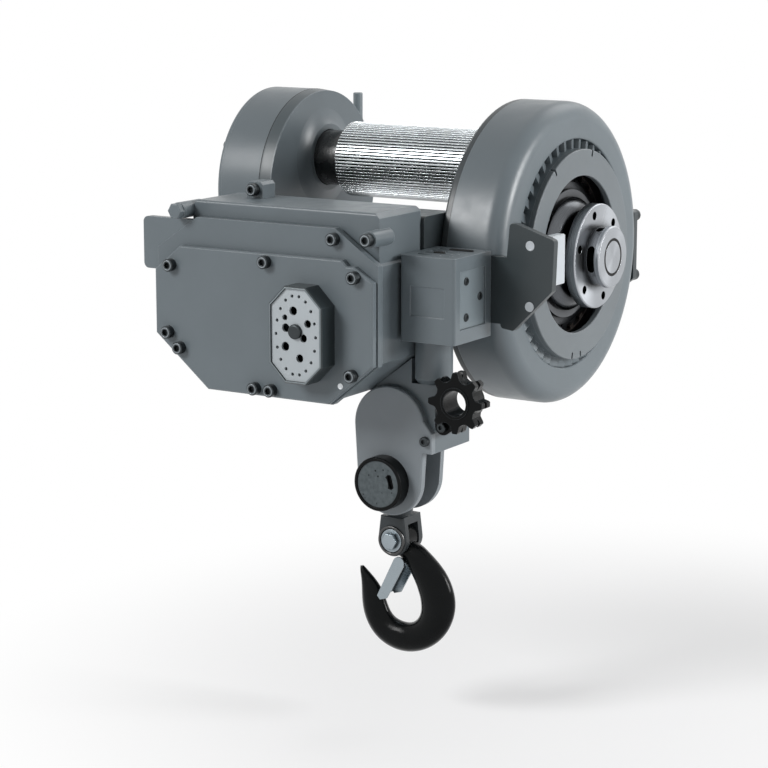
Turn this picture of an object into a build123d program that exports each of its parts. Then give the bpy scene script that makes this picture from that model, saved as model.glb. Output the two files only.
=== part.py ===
from build123d import *
import os
from math import acos, cos, hypot, pi, radians, sin, tan

# Electric hoist in millimetres. The main shaft runs along X through the origin, which is the
# centre of the output flange's outer face. +X points out of that flange, -Y is the side with
# the octagonal case cover, and +Z is up. The hook hangs below.

# Fits
RUN = 0.05  # radial clearance of a running fit
SEAT = 0.02  # radial clearance of a seated round fit

# Gear pair between the motor line and the drum line
MODULE = 4.0
PINION_TEETH = 16
GEAR_TEETH = 27
PRESSURE_DEG = 25.0
ADDENDUM = 0.8 * MODULE
DEDENDUM = MODULE
BACKLASH = 0.5
GEAR_WIDTH = 16.0
DRUM_Z = MODULE * (PINION_TEETH + GEAR_TEETH) / 2

# Motor housing at the output end
HOUSING_R = 160.0
HOUSING_WALL = 8.0
HOUSING_FACE = -31.0
HOUSING_EDGE_R = 18.0
HOUSING_INNER_EDGE_R = 8.0
FACE_LAND = 39.0
FACE_OPENING_R = HOUSING_R - FACE_LAND
BACK_PLATE_T = 8.0
BACK_FACE = -100.0
BEARING_PLATE_T = 8.0
BEARING_PLATE_FACE = -60.0
SHOULDER = 4.0
BACK_INNER = BACK_FACE + BACK_PLATE_T
HOUSING_BORE_R = HOUSING_R - HOUSING_WALL
FACE_INNER = HOUSING_FACE - HOUSING_WALL

# Vaned ring and face ring in the round opening
VANE_COUNT = 44
VANE_T = 11.0
VANE_SKEW = 18.0
VENT_FLANGE_R = FACE_OPENING_R + 7.0
VENT_FLANGE_T = 6.0
FACE_RING_R = FACE_OPENING_R - 10.0
FACE_RING_W = 28.0
FACE_RING_BORE_R = FACE_RING_R - FACE_RING_W
FACE_RING_T = 6.0
FACE_RING_FRONT = -22.0
FACE_NOTCHES = (77.0, 122.0, 196.0, 262.0, 272.0)

# Motor
STATOR_BORE_R = FACE_RING_BORE_R - 2.8
STATOR_R = FACE_RING_R + 1.0
STATOR_T = 14.0
SLOT_COUNT = 24
SLOT_W = 7.0
SLOT_R = STATOR_R - 12.0
AIR_GAP = 0.8
MAGNET_T = 3.5
MAGNET_COUNT = 20
ROTOR_RIM_X = (-58.0, -40.0)

# Main shaft and output hub
SHAFT_R = 15.0
SHAFT_NOSE_R = 17.0
SHAFT_RECESS = 1.0
HUB_FLANGE_R = 55.0
HUB_FLANGE_T = 12.0
HUB_BOSS_R = 26.0
HUB_BOSS_BACK = -30.0
HUB_NECK_R = 31.0
HUB_NECK_WALL = 6.0
HUB_NECK_L = 11.0
HUB_DISC_R = 32.5
HUB_DISC_T = 5.4
HUB_WINDOW = (28.0, 8.0)
HUB_BOLT_PCD = 90.0
HUB_BOLT_R = 4.5
HUB_BOLT_COUNT = 6
HUB_BOLT_START = 45.0
NOSE_RING_R = 20.0
NOSE_RING_T = 4.0
FRONT_BEARING_R = 26.0
REAR_BEARING_R = 22.0
HUB_NOSE = HUB_NECK_L + HUB_DISC_T

# Drum line
DRUM_R = 41.0
DRUM_BORE_R = 33.0
DRUM_END_T = 12.0
DRUM_HUB_R = 20.0
DRUM_X = (-304.0, -90.0)
FLUTE_COUNT = 72
FLUTE_DEPTH = 1.5
COLLAR_R = 30.5
DRUM_GAP = 1.0
DRUM_SHAFT_TIP_R = 12.0
DRUM_TIP_BEARING_R = 20.0
BRAKE_DISC_R = 50.0
BRAKE_DISC_T = 6.0
BRAKE_HUB_R = 24.0
BRAKE_HUB_L = 8.0
MAGNET_R = 46.0
MAGNET_L = 21.0
MAGNET_GAP = 1.5
COIL_R = (28.0, 38.0)
COIL_DEPTH = 4.0

# End housing at the far end of the drum
END_R = 107.0
END_Z = 54.0
END_WALL = 6.0
END_OUTER = -416.0
END_SEAM = -360.0
END_FACE = -345.0
END_COVER_T = 6.0
END_COVER_EDGE_R = 4.0
END_DISH_R = END_R - 30.0
END_DISH_DEPTH = 2.0
END_BEVEL = 1.5
END_BEARING_LIP = 1.0
SHAFT_CLEAR = 1.5
FLARE_R = 66.0
FLARE_TIP = -338.0
FLARE_TIP_R = 37.0
FLARE_MID_R = 47.0
FLARE_SAG = 1.8
FLARE_ROOT = 2.0
COLLAR_GAP = 0.5
END_BOSS_R = 8.0
END_BOSS_PITCH_R = END_R - END_WALL - 6.0
END_SCREW_COUNT = 6

# Guide post behind the end housing
POST_R = 5.5
POST_XY = (-375.5, 118.0)
POST_Z = (-20.0, 148.5)
POST_LUG_W = 16.0
POST_LUGS_Z = (48.0, 78.0)
POST_LUG_H = 14.0

# Frame girder behind the case
FRAME_Y = (-190.0, -130.0)
FRAME_Z = (-75.0, 55.0)
FRAME_WALL = 8.0
FRAME_FLANGE_T = 10.0

# Octagonal case
CASE_FRONT = -280.0
CASE_BACK = FRAME_Y[0]
CASE_X = (-366.0, -98.0)
CASE_Z = (-127.0, 50.0)
CASE_TOP_CUT = (50.0, 34.0)
CASE_LOW_CUT_LEFT = (66.0, 54.0)
CASE_LOW_CUT_RIGHT = (53.0, 43.0)
CASE_FLANGE_T = 8.0
CASE_WALL = 12.0
CASE_STEP = 3.0
CASE_BACK_WALL = 6.0
CASE_HEAD_X = (-329.0, -104.0)
CASE_HEAD_Z = 66.0
CASE_HEAD_FRONT = -268.0
COVER_TOP = 22.0
COVER_T = 7.0
COVER_INSET = 1.5
COVER_TOP_CUT = (33.0, 27.0)
COVER_NOTCH = (8.0, 6.0)
GASKET_T = 1.0
CORNER_BOSS_R = 8.5
CORNER_BOSS_FRONT = -284.0
CORNER_BOSS_BACK = -250.0
CORNER_BOSS_RIGHT = (-106.0, 42.0)
CORNER_BOSS_LEFT = (-334.0, 56.0)

# M6 socket screws of the end cover, the terminal box lid and the block shelf
SMALL_SCREW_R = 3.0
SMALL_SCREW_L = 14.0
SMALL_HOLE_R = 3.3
SMALL_HEAD_R = 5.0
SMALL_HEAD_H = 5.0
LID_SCREW_L = 8.0
LID_HEAD_R = 4.2
LID_HEAD_H = 1.4

# M8 socket screws on the case, as (x, z)
SCREW_R = 4.0
SCREW_HEAD_R = 6.5
SCREW_HEAD_H = 8.0
SCREW_HOLE_R = 4.3
COVER_SCREWS = (
    (-343.0, 0.0), (-225.0, 12.0), (-119.5, 4.5), (-347.0, -70.0),
    (-332.5, -85.0), (-239.0, -118.0), (-219.0, -118.0), (-122.5, -93.5),
)
FLANGE_SCREW = (-148.5, 39.5)
COVER_SCREW_L = 22.0
DOWEL_R = 3.2
COVER_DOWEL = (-137.0, -105.5)

# Contactors and transformer on the back wall of the case
CONTACTOR_COUNT = 3
CONTACTOR_START = -310.0
CONTACTOR_PITCH = 62.0
CONTACTOR_W = 46.0
CONTACTOR_DEPTH = 44.0
CONTACTOR_INSET = 6.0
CONTACTOR_Z = (-60.0, 5.0)
TRANSFORMER_X = (-280.0, -200.0)
TRANSFORMER_Z = (-106.0, -70.0)
TRANSFORMER_DEPTH = 40.0
TRANSFORMER_LIMB = 8.0

# Vent port on the cover
VENT_X = -175.0
VENT_Z = -54.8
VENT_HALF_W = 31.5
VENT_HALF_H = 48.7
VENT_CUT = 19.0
VENT_DEPTH = 24.0
VENT_WALL = 5.0
VENT_PLATE_T = 3.0
VENT_LIP = 2.0
VENT_BOSS_R = 7.5
VENT_BOSS_RISE = 4.0
VENT_RING_HOLE_R = 1.7
VENT_HOLES = ((-2.8, 24.4, 4.5), (-12.8, 17.1, 3.0), (14.2, 12.8, 4.0), (-11.8, 6.8, 4.4),
              (-12.4, -11.9, 4.6), (4.6, -22.5, 4.2), (9.0, -2.0, 4.2))

# Lifting lug on the case and lug plate at its side
TOP_LUG = (20.0, 22.0, 17.0)
TOP_LUG_AT = (-282.0, -214.0)
TOP_LUG_SCREW_RISE = 9.0
SIDE_PLATE_X = (-384.0, -317.0)
SIDE_PLATE_Z = (-7.0, 47.0)
SIDE_PLATE_T = 8.0

# Side ears
EAR_T = 8.0
EAR_STANDOFF = 0.1
EAR_PAD_X = (-92.0, -60.0)
EAR_PAD_Z = (-50.0, 18.0)
EAR_HOLE_R = 5.0
EAR_HOLES = ((9.0, 31.0), (9.0, -30.0))
EAR_EDGE_R = 6.0
REAR_EAR_X = (-92.0, -38.0)
REAR_EAR_Z = (-60.0, 40.0)
REAR_SCREWS = ((-47.0, 21.0), (-47.0, -46.0))
REAR_SCREW_HEAD_H = 14.0
GUIDE_BLOCK_X = (20.0, 31.0)
GUIDE_BLOCK_Z = (-9.0, 41.0)
GUIDE_BLOCK_DEPTH = 24.0
EAR_INNER = HOUSING_R + EAR_STANDOFF
EAR_OUTER = EAR_INNER + EAR_T

# Terminal box
BOX_X = (-97.7, -35.0)
BOX_Y = (-240.0, -EAR_OUTER)
BOX_Z = (-63.0, 23.0)
BOX_WALL = 4.0
BOX_LID_T = 3.0
BOX_LID_RECESS = 1.5
BOX_LID_FRAME = (11.0, 14.0)
BOX_EDGE_R = 3.0

# Hook block
LOAD_X = -126.0
BLOCK_Y = -192.5
CHEEK_T = 8.0
CHEEK_GAP = 29.0
SHEAVE_Z = -158.0
TRUNNION_Z = -213.0
CHEEK_TOP_R = 41.4
CHEEK_LOW_R = 38.0
CHEEK_FRONT = BLOCK_Y - CHEEK_GAP / 2
CHEEK_REAR = BLOCK_Y + CHEEK_GAP / 2
SHEAVE_R = 26.0
SHEAVE_W = 22.0
SHEAVE_GROOVE_R = 7.0
SHEAVE_PIN_R = 8.0
PIN_DEPTH = 4.0
LEG_X = -98.0
WEB_TOP_X = -104.0
SHELF_X = (-92.0, -76.0)
SHELF_Z = (-182.0, -161.0)
SHELF_BACK = -138.0
HANGER_ARM_L = 40.0
PLATFORM_X = -73.0
PLATFORM_Z = (-130.0, -112.0)
NECK_R = 20.5
NECK_XY = (-88.0, -192.0)
NECK_TAPER = 5.5
WEB_STEP = 6.0
FOOT_RISE = (9.0, 12.0)
FOOT_SCREW = (-82.5, -168.5)
LUG_SCREW = (-67.0, -153.5)
LUG_R = 8.5
CAP_R = 28.0
CAP_T = 16.0
CAP_SHIFT = (-4.0, -3.0)
REAR_CAP_T = 8.0
CAP_RIM = 3.5
CAP_RECESS = 1.2

# Star wheel beside the block
STAR_X = -43.5
STAR_Z = -124.0
STAR_Y = (-224.0, -207.3)
STAR_TIP_R = 31.0
STAR_ROOT_R = 22.5
STAR_LOBES = 8
STAR_JOURNAL_R = 16.0
STAR_BORE_R = 13.0
STAR_CARRIER_T = 10.0
STAR_BOSS_R = 19.0

# Trunnion, clevis and hook
TRUNNION_R = 12.0
CROSSHEAD_HALF = (17.0, 13.5, 13.0)
STUD_R = 9.0
SWIVEL_NUT_R = 14.0
SWIVEL_NUT_T = 10.0
YOKE_DROP = 41.0
YOKE_T = 8.0
YOKE_HALF_X = 14.0
YOKE_HALF_Y = 16.5
EAR_GAP = 9.5
YOKE_NECK_R = 13.2
YOKE_NECK_GAP = 1.5
BOLT_Z = -279.0
BOLT_R = 8.0
CLEVIS_END_R = 17.0
BOLT_WASHER_R = 12.5
BOLT_WASHER_T = 1.6
BOLT_HEAD_R = 8.6
BOLT_HEAD_T = 5.0
BOLT_TAIL = 9.0
BOLT_NUT_R = 12.5
BOLT_NUT_T = 7.0
HOOK_EYE_R = 16.0
HOOK_EYE_HALF = 9.2
HOOK_RELIEF = 1.2
BOWL_X = LOAD_X + 6.0
BOWL_R = 40.0
BOWL_Z = -345.0
LATCH_PIVOT = (-119.0, -302.6)
LATCH_PIN_R = 3.0
LATCH_SHEET = 2.0
LATCH_SIDE = 13.2
LATCH_TIP = (-140.5, -343.0)
LATCH_HEEL_R = 6.5

PARTS = "parts"


def outline(points):
    return make_face(Polyline(*points, close=True))


def turned_x(profile, y=0.0, z=0.0):
    """Revolve (x, radius) points about a line along X."""
    return Pos(0, y, z) * revolve(outline(profile), Axis.X)


def turned_y(profile, x=0.0, z=0.0):
    """Revolve (y, radius) points about a line along Y."""
    return Pos(x, 0, z) * revolve(outline([(r, y) for y, r in profile]), Axis.Y)


def disc_x(x0, x1, radius, y=0.0, z=0.0):
    return Pos((x0 + x1) / 2, y, z) * Rot(0, 90, 0) * Cylinder(radius, x1 - x0)


def disc_y(y0, y1, radius, x=0.0, z=0.0):
    return Pos(x, (y0 + y1) / 2, z) * Rot(90, 0, 0) * Cylinder(radius, y1 - y0)


def disc_z(z0, z1, radius, x=0.0, y=0.0):
    return Pos(x, y, (z0 + z1) / 2) * Cylinder(radius, z1 - z0)


def ring_x(x0, x1, inner, outer, y=0.0, z=0.0):
    return disc_x(x0, x1, outer, y, z) - disc_x(x0, x1, inner, y, z)


def block(x0, x1, y0, y1, z0, z1):
    middle = Pos((x0 + x1) / 2, (y0 + y1) / 2, (z0 + z1) / 2)
    return middle * Box(abs(x1 - x0), abs(y1 - y0), abs(z1 - z0))


def raised(sketch, y0, y1):
    """Extrude a sketch drawn in (x, z) from y0 to y1."""
    plane = Plane(origin=(0, y0, 0), x_dir=(1, 0, 0), z_dir=(0, -1, 0))
    return extrude(plane * sketch, amount=y0 - y1)


def prism_x(sketch, x0, x1):
    """Extrude a sketch drawn in (y, z) from x0 to x1."""
    return extrude(Plane.YZ.offset(x0) * sketch, amount=x1 - x0)


def spots(points, radius):
    """Round spots at (x, z) points, to raise or cut."""
    return Sketch() + [Pos(x, z) * Circle(radius) for x, z in points]


def on_circle(count, radius, start=0.0):
    """(y, z) points evenly round a circle."""
    step = 2 * pi / count
    angles = [radians(start) + k * step for k in range(count)]
    return [(radius * cos(a), radius * sin(a)) for a in angles]


def socket_screw(radius, length, head_r, head_h):
    """Screw along Z: head above 0, shank below, hexagon socket in the head."""
    head = chamfer(Cylinder(head_r, head_h).edges().sort_by(Axis.Z)[-1], 0.8)
    shank = Pos(0, 0, -head_h / 2 - length / 2) * Cylinder(radius, length)
    socket = Pos(0, 0, 0) * extrude(RegularPolygon(head_r * 0.52, 6), amount=head_h / 2)
    return Pos(0, 0, head_h / 2) * (head + shank - socket)


def facing_front(x, y, z):
    """Place a screw at a point with its head towards -Y."""
    return Pos(x, y, z) * Rot(90, 0, 0)


# Gear pair
def involute(angle):
    return tan(angle) - angle


def gear_outline(teeth, phase):
    """Closed tooth outline with a tooth centred on the phase angle."""
    pressure = radians(PRESSURE_DEG)
    pitch = MODULE * teeth / 2
    base = pitch * cos(pressure)
    root, tip = pitch - DEDENDUM, pitch + ADDENDUM
    half = pi / (2 * teeth) - BACKLASH / (2 * pitch)

    def half_angle(radius):
        return half + involute(pressure) - involute(acos(min(1.0, base / radius)))

    radii = (root, max(root + 0.8, base), pitch, tip)
    points = []
    for k in range(teeth):
        centre = phase + 2 * pi * k / teeth
        rise = [(r, centre - half_angle(r)) for r in radii]
        fall = [(r, centre + half_angle(r)) for r in reversed(radii)]
        points += [(r * cos(a), r * sin(a)) for r, a in rise + fall]
    return outline(points)


GEAR_X1 = BACK_INNER + 5.0
GEAR_X2 = GEAR_X1 + GEAR_WIDTH


def motor_pinion():
    teeth = prism_x(gear_outline(PINION_TEETH, pi / 2), GEAR_X1, GEAR_X2)
    return teeth - disc_x(GEAR_X1, GEAR_X2, SHAFT_R + SEAT)


def drum_gear():
    gap_down = -pi / 2 + pi / GEAR_TEETH
    teeth = prism_x(gear_outline(GEAR_TEETH, gap_down), GEAR_X1, GEAR_X2)
    gear = Pos(0, 0, DRUM_Z) * teeth + disc_x(DRUM_X[1], GEAR_X1, 30.0, 0, DRUM_Z)
    return gear - disc_x(DRUM_X[1], GEAR_X2, SHAFT_R + SEAT, 0, DRUM_Z)


# Motor housing
def motor_housing():
    shell = disc_x(BACK_INNER, HOUSING_FACE, HOUSING_R)
    shell = fillet(shell.edges().sort_by(Axis.X)[-1], HOUSING_EDGE_R)
    front_room = disc_x(BEARING_PLATE_FACE, FACE_INNER, HOUSING_BORE_R - SHOULDER)
    front_room = fillet(front_room.edges().sort_by(Axis.X)[-1], HOUSING_INNER_EDGE_R)
    shell -= disc_x(BACK_INNER, BEARING_PLATE_FACE, HOUSING_BORE_R) + front_room
    shell -= disc_x(FACE_INNER, HOUSING_FACE, FACE_OPENING_R)
    mouth = shell.edges().filter_by(GeomType.CIRCLE).filter_by(
        lambda e: abs(e.radius - FACE_OPENING_R) < 0.01)
    return fillet(mouth.sort_by(Axis.X)[-1], 2.0)


def motor_back_plate():
    plate = disc_x(BACK_FACE, BACK_INNER, HOUSING_R)
    plate = fillet(plate.edges().sort_by(Axis.X)[0], 3.0)
    plate += disc_x(BACK_INNER, BACK_INNER + 3.0, HOUSING_BORE_R - SEAT)
    plate -= disc_x(BACK_FACE, BACK_INNER + 3.0, REAR_BEARING_R)
    return plate - disc_x(BACK_FACE, BACK_INNER + 3.0, DRUM_R + DRUM_GAP, 0, DRUM_Z)


def bearing_plate():
    back = BEARING_PLATE_FACE - BEARING_PLATE_T
    plate = disc_x(back, BEARING_PLATE_FACE, HOUSING_BORE_R - SEAT)
    plate -= disc_x(back, BEARING_PLATE_FACE, FRONT_BEARING_R)
    return plate - disc_x(back, BEARING_PLATE_FACE, DRUM_TIP_BEARING_R, 0, DRUM_Z)


def ball_bearings():
    back = BEARING_PLATE_FACE - BEARING_PLATE_T
    running = SHAFT_R + RUN
    front = ring_x(back, BEARING_PLATE_FACE, running, FRONT_BEARING_R - SEAT)
    rear = ring_x(BACK_FACE + SHAFT_RECESS, BACK_INNER + 2, running, REAR_BEARING_R - SEAT)
    tip = ring_x(back, BEARING_PLATE_FACE, DRUM_SHAFT_TIP_R + RUN,
                 DRUM_TIP_BEARING_R - SEAT, 0, DRUM_Z)
    end = ring_x(END_SEAM, END_FACE - END_BEARING_LIP, running, FRONT_BEARING_R - SEAT, 0, DRUM_Z)
    return Part() + [front, rear, tip, end]


def vent_ring():
    back = FACE_INNER - VENT_FLANGE_T
    seat = FACE_RING_FRONT - FACE_RING_T
    band_in, band_out = FACE_RING_R - 7.0, FACE_RING_R - 0.1
    slot_out = FACE_OPENING_R - 0.1
    body = ring_x(back, seat, band_in, band_out)
    body += ring_x(back, FACE_INNER, slot_out - 1.0, VENT_FLANGE_R)
    length = FACE_INNER + 6.0 - back
    height = slot_out - 0.3 - (band_out - 1.0)
    vane = Pos((back + FACE_INNER + 6.0) / 2, 0, band_out - 1.0 + height / 2)
    vane *= Rot(0, 0, VANE_SKEW) * Box(length - 1.2, VANE_T, height)
    turn = 360 / VANE_COUNT
    body += [Rot(k * turn, 0, 0) * vane for k in range(VANE_COUNT)]
    return body & ring_x(back, seat, band_in, VENT_FLANGE_R)


def face_ring():
    back = FACE_RING_FRONT - FACE_RING_T
    ring = ring_x(back, FACE_RING_FRONT, FACE_RING_BORE_R, FACE_RING_R)
    ring = chamfer(ring.edges().filter_by(GeomType.CIRCLE).sort_by(Axis.X)[-2:], 0.8)
    notch = Pos(0, FACE_RING_R - 2.5, 0) * Box(2 * abs(back), 9.0, 3.0)
    return ring - [Rot(a, 0, 0) * notch for a in FACE_NOTCHES]


# Motor
def stator_slots(width, inner, outer, x0, x1):
    middle = Pos((x0 + x1) / 2, (inner + outer) / 2, 0)
    slot = middle * Box(x1 - x0, outer - inner, width)
    return [Rot(k * 360 / SLOT_COUNT, 0, 0) * slot for k in range(SLOT_COUNT)]


def stator_core():
    x0, x1 = BEARING_PLATE_FACE, BEARING_PLATE_FACE + STATOR_T
    core = ring_x(x0, x1, STATOR_BORE_R, STATOR_R)
    return core - stator_slots(SLOT_W, STATOR_BORE_R - 1, SLOT_R, x0, x1)


def stator_windings():
    x0, x1 = BEARING_PLATE_FACE, BEARING_PLATE_FACE + STATOR_T
    coils = ring_x(x1, x1 + 5.0, STATOR_BORE_R + 6, SLOT_R - 1)
    return coils + stator_slots(SLOT_W - 0.2, STATOR_BORE_R + 3, SLOT_R - 0.1, x0, x1 + 4.0)


def rotor_rim_r():
    return STATOR_BORE_R - AIR_GAP - MAGNET_T


def rotor_bell():
    rim = rotor_rim_r()
    x0, x1 = ROTOR_RIM_X
    seat = HUB_BOSS_R + SEAT
    dome = ThreePointArc((-18, 33), (-21.5, 49), (-33, 60))
    rest = Polyline((-33, 60), (-36, 60), (-36, 68), (x1, 68), (x1, rim), (x0, rim),
                    (x0, rim - 5), (x1 - 4, rim - 5), (x1 - 2, 56), (HUB_BOSS_BACK, 34),
                    (HUB_BOSS_BACK, seat), (-18, seat), (-18, 33))
    return revolve(make_face(dome + rest), Axis.X)


def rotor_magnets():
    x0, x1 = ROTOR_RIM_X
    rim = rotor_rim_r()
    ring = ring_x(x0 + 1, x1 - 3, rim, rim + MAGNET_T)
    gap = Pos((x0 + x1) / 2, rim + MAGNET_T / 2, 0) * Box(x1 - x0, 3 * MAGNET_T, 3.0)
    return ring - [Rot(k * 360 / MAGNET_COUNT, 0, 0) * gap for k in range(MAGNET_COUNT)]


# Main shaft and output hub
def main_shaft():
    x0 = BACK_FACE + SHAFT_RECESS
    return turned_x([(x0, 0), (x0, SHAFT_R), (HUB_BOSS_BACK, SHAFT_R),
                     (HUB_BOSS_BACK, SHAFT_NOSE_R), (HUB_NOSE, SHAFT_NOSE_R), (HUB_NOSE, 0)])


def output_hub():
    flange = disc_x(-HUB_FLANGE_T, 0, HUB_FLANGE_R)
    flange = chamfer(flange.edges().filter_by(GeomType.CIRCLE), 1.0)
    disc = disc_x(HUB_NECK_L, HUB_NOSE, HUB_DISC_R)
    disc = chamfer(disc.edges().sort_by(Axis.X)[-1], 1.2)
    hub = flange + disc + disc_x(HUB_BOSS_BACK, -HUB_FLANGE_T, HUB_BOSS_R)
    hub += ring_x(0, HUB_NECK_L, HUB_NECK_R - HUB_NECK_WALL, HUB_NECK_R)
    hub -= disc_x(HUB_BOSS_BACK, HUB_NOSE, SHAFT_NOSE_R + SEAT)
    hub -= disc_x(HUB_NOSE - NOSE_RING_T, HUB_NOSE, NOSE_RING_R)
    holes = on_circle(HUB_BOLT_COUNT, HUB_BOLT_PCD / 2, HUB_BOLT_START)
    hub -= [disc_x(-HUB_FLANGE_T, 0, HUB_BOLT_R, y, z) for y, z in holes]
    side = Plane(origin=(HUB_NECK_L / 2, 0, 0), x_dir=(0, 0, 1), z_dir=(0, 1, 0))
    window = extrude(side * SlotOverall(*HUB_WINDOW), amount=HUB_NECK_R + 2)
    return hub - [Rot(90 * k, 0, 0) * window for k in range(4)]


def nose_ring():
    return ring_x(HUB_NOSE - NOSE_RING_T, HUB_NOSE, SHAFT_NOSE_R + SEAT, NOSE_RING_R - SEAT)


# Drum line
def flute_outline():
    step = 2 * pi / FLUTE_COUNT
    low = DRUM_R - FLUTE_DEPTH
    shape = ((DRUM_R, -0.24), (DRUM_R, 0.24), (low, 0.38), (low, 0.62))
    points = []
    for k in range(FLUTE_COUNT):
        points += [(r * cos((k + f) * step), r * sin((k + f) * step)) for r, f in shape]
    return outline(points)


def drum():
    x0, x1 = DRUM_X
    body = Pos(0, 0, DRUM_Z) * prism_x(flute_outline(), x0, x1)
    body -= disc_x(x0, x1, SHAFT_R + SEAT, 0, DRUM_Z)
    return body - ring_x(x0 + DRUM_END_T, x1 - DRUM_END_T, DRUM_HUB_R, DRUM_BORE_R, 0, DRUM_Z)


def drum_collar():
    return ring_x(END_FACE + COLLAR_GAP, DRUM_X[0], SHAFT_R + SEAT, COLLAR_R, 0, DRUM_Z)


def drum_shaft():
    step = GEAR_X2 + 1
    tip = BEARING_PLATE_FACE - SHAFT_RECESS
    x0 = END_OUTER + END_COVER_T + SHAFT_RECESS
    return turned_x([(x0, 0), (x0, SHAFT_R), (step, SHAFT_R), (step, DRUM_SHAFT_TIP_R),
                     (tip, DRUM_SHAFT_TIP_R), (tip, 0)], 0, DRUM_Z)


def brake_disc():
    x0 = END_OUTER + END_COVER_T + MAGNET_L + MAGNET_GAP
    x1 = x0 + BRAKE_DISC_T
    x2 = x1 + BRAKE_HUB_L
    disc = disc_x(x0, x1, BRAKE_DISC_R, 0, DRUM_Z) + disc_x(x1, x2, BRAKE_HUB_R, 0, DRUM_Z)
    return disc - disc_x(x0, x2, SHAFT_R + SEAT, 0, DRUM_Z)


def brake_magnet():
    x0 = END_OUTER + END_COVER_T
    x1 = x0 + MAGNET_L
    body = ring_x(x0, x1, SHAFT_R + SHAFT_CLEAR, MAGNET_R, 0, DRUM_Z)
    return body - ring_x(x1 - COIL_DEPTH, x1, COIL_R[0], COIL_R[1], 0, DRUM_Z)


# End housing
def end_bell():
    bell = turned_x([(END_SEAM, 0), (END_SEAM, END_R), (END_SEAM + 2, END_R),
                     (END_FACE, END_R - END_BEVEL), (END_FACE, 0)], 0, END_Z)
    bore = COLLAR_R + COLLAR_GAP
    root = END_FACE - FLARE_ROOT
    sweep_in = ThreePointArc((END_FACE, FLARE_R), (END_FACE + FLARE_SAG, FLARE_MID_R),
                             (FLARE_TIP, FLARE_TIP_R))
    foot = Polyline((FLARE_TIP, FLARE_TIP_R), (FLARE_TIP, bore), (root, bore), (root, FLARE_R),
                    (END_FACE, FLARE_R))
    flare = revolve(make_face(sweep_in + foot), Axis.X)
    bell += Pos(0, 0, DRUM_Z) * flare
    bell -= disc_x(END_SEAM, END_FACE - END_BEARING_LIP, FRONT_BEARING_R, 0, DRUM_Z)
    return bell - disc_x(END_SEAM, END_FACE, SHAFT_R + SHAFT_CLEAR, 0, DRUM_Z)


def end_boss_points():
    return [(y, z + END_Z) for y, z in on_circle(END_SCREW_COUNT, END_BOSS_PITCH_R, 30)]


def end_housing():
    x0 = END_OUTER + END_COVER_T
    shell = ring_x(x0, END_SEAM, END_R - END_WALL, END_R, 0, END_Z)
    shell += [disc_x(x0, END_SEAM, END_BOSS_R, y, z) for y, z in end_boss_points()]
    shell &= disc_x(x0, END_SEAM, END_R, 0, END_Z)
    x, y = POST_XY
    half = POST_LUG_W / 2
    for z in POST_LUGS_Z:
        lug = block(x - half, x + half, END_R - 6, y + half, z, z + POST_LUG_H)
        shell += fillet(lug.edges().filter_by(Axis.Z).sort_by(Axis.Y)[-2:], half - 1)
    shell -= [disc_x(x0, x0 + SMALL_SCREW_L + 2, SMALL_SCREW_R, *at) for at in end_boss_points()]
    return shell - disc_z(POST_Z[0], POST_Z[1], POST_R + SEAT, x, y)


def end_cover():
    x0, x1 = END_OUTER, END_OUTER + END_COVER_T
    cover = disc_x(x0, x1, END_R, 0, END_Z)
    cover = fillet(cover.edges().sort_by(Axis.X)[0], END_COVER_EDGE_R)
    cover -= disc_x(x0, x0 + END_DISH_DEPTH, END_DISH_R, 0, END_Z)
    return cover - [disc_x(x0, x1, SMALL_HOLE_R, *at) for at in end_boss_points()]


def guide_post():
    post = disc_z(POST_Z[0], POST_Z[1], POST_R, *POST_XY)
    return chamfer(post.edges().filter_by(GeomType.CIRCLE), 0.8)


# Frame
def bed_frame():
    y0, y1 = FRAME_Y
    z0, z1 = FRAME_Z
    x0 = END_FACE + FRAME_FLANGE_T
    girder = block(x0, BACK_FACE, y0, y1, z0, z1)
    girder = fillet(girder.edges().filter_by(Axis.X), 5.0)
    w = FRAME_WALL
    room = block(x0 + w, BACK_FACE - w, y0 + w, y1 - w, z0 + w, z1 - w)
    span = (BACK_FACE - x0) / 3
    middle = (z0 + z1) / 2
    holes = [Pos(x0 + span * (k + 0.5), middle) * SlotOverall(46, 26) for k in range(3)]
    foot = outline([(y0, z1), (y0, z0), (y1, z0), (-58, -35), (-40, -22), (-40, 6),
                    (-60, 10), (y1, z1)])
    girder += prism_x(foot, END_FACE, x0)
    return girder - room - raised(Sketch() + holes, y1 - w - 1, y1 + 1)


# Case
def octagon(inset):
    """Outline of the case front as (x, z), moved inwards by inset."""
    x0, x1 = CASE_X
    z0, z1 = CASE_Z
    tx, tz = CASE_TOP_CUT
    lx, lz = CASE_LOW_CUT_LEFT
    rx, rz = CASE_LOW_CUT_RIGHT
    face = outline([(x0 + tx, z1), (x1 - tx, z1), (x1, z1 - tz), (x1, z0 + rz),
                    (x1 - rx, z0), (x0 + lx, z0), (x0, z0 + lz), (x0, z1 - tz)])
    return offset(face, amount=-inset, kind=Kind.INTERSECTION) if inset else face


def cover_outline(inset):
    """Outline of the cover, which stops at its own top edge with a notch at the right."""
    x0, x1 = CASE_X
    z0 = CASE_Z[0]
    tx, tz = COVER_TOP_CUT
    lx, lz = CASE_LOW_CUT_LEFT
    rx, rz = CASE_LOW_CUT_RIGHT
    nx, nz = COVER_NOTCH
    top = COVER_TOP
    right = x1 - tx - nx / 2
    face = outline([(x0 + tx, top), (right, top), (right + nz, top - nz),
                    (right + nz + nx, top - nz), (x1, top - nz - tz * 0.55), (x1, z0 + rz),
                    (x1 - rx, z0), (x0 + lx, z0), (x0, z0 + lz), (x0, top - tz)])
    return offset(face, amount=-inset, kind=Kind.INTERSECTION)


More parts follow.
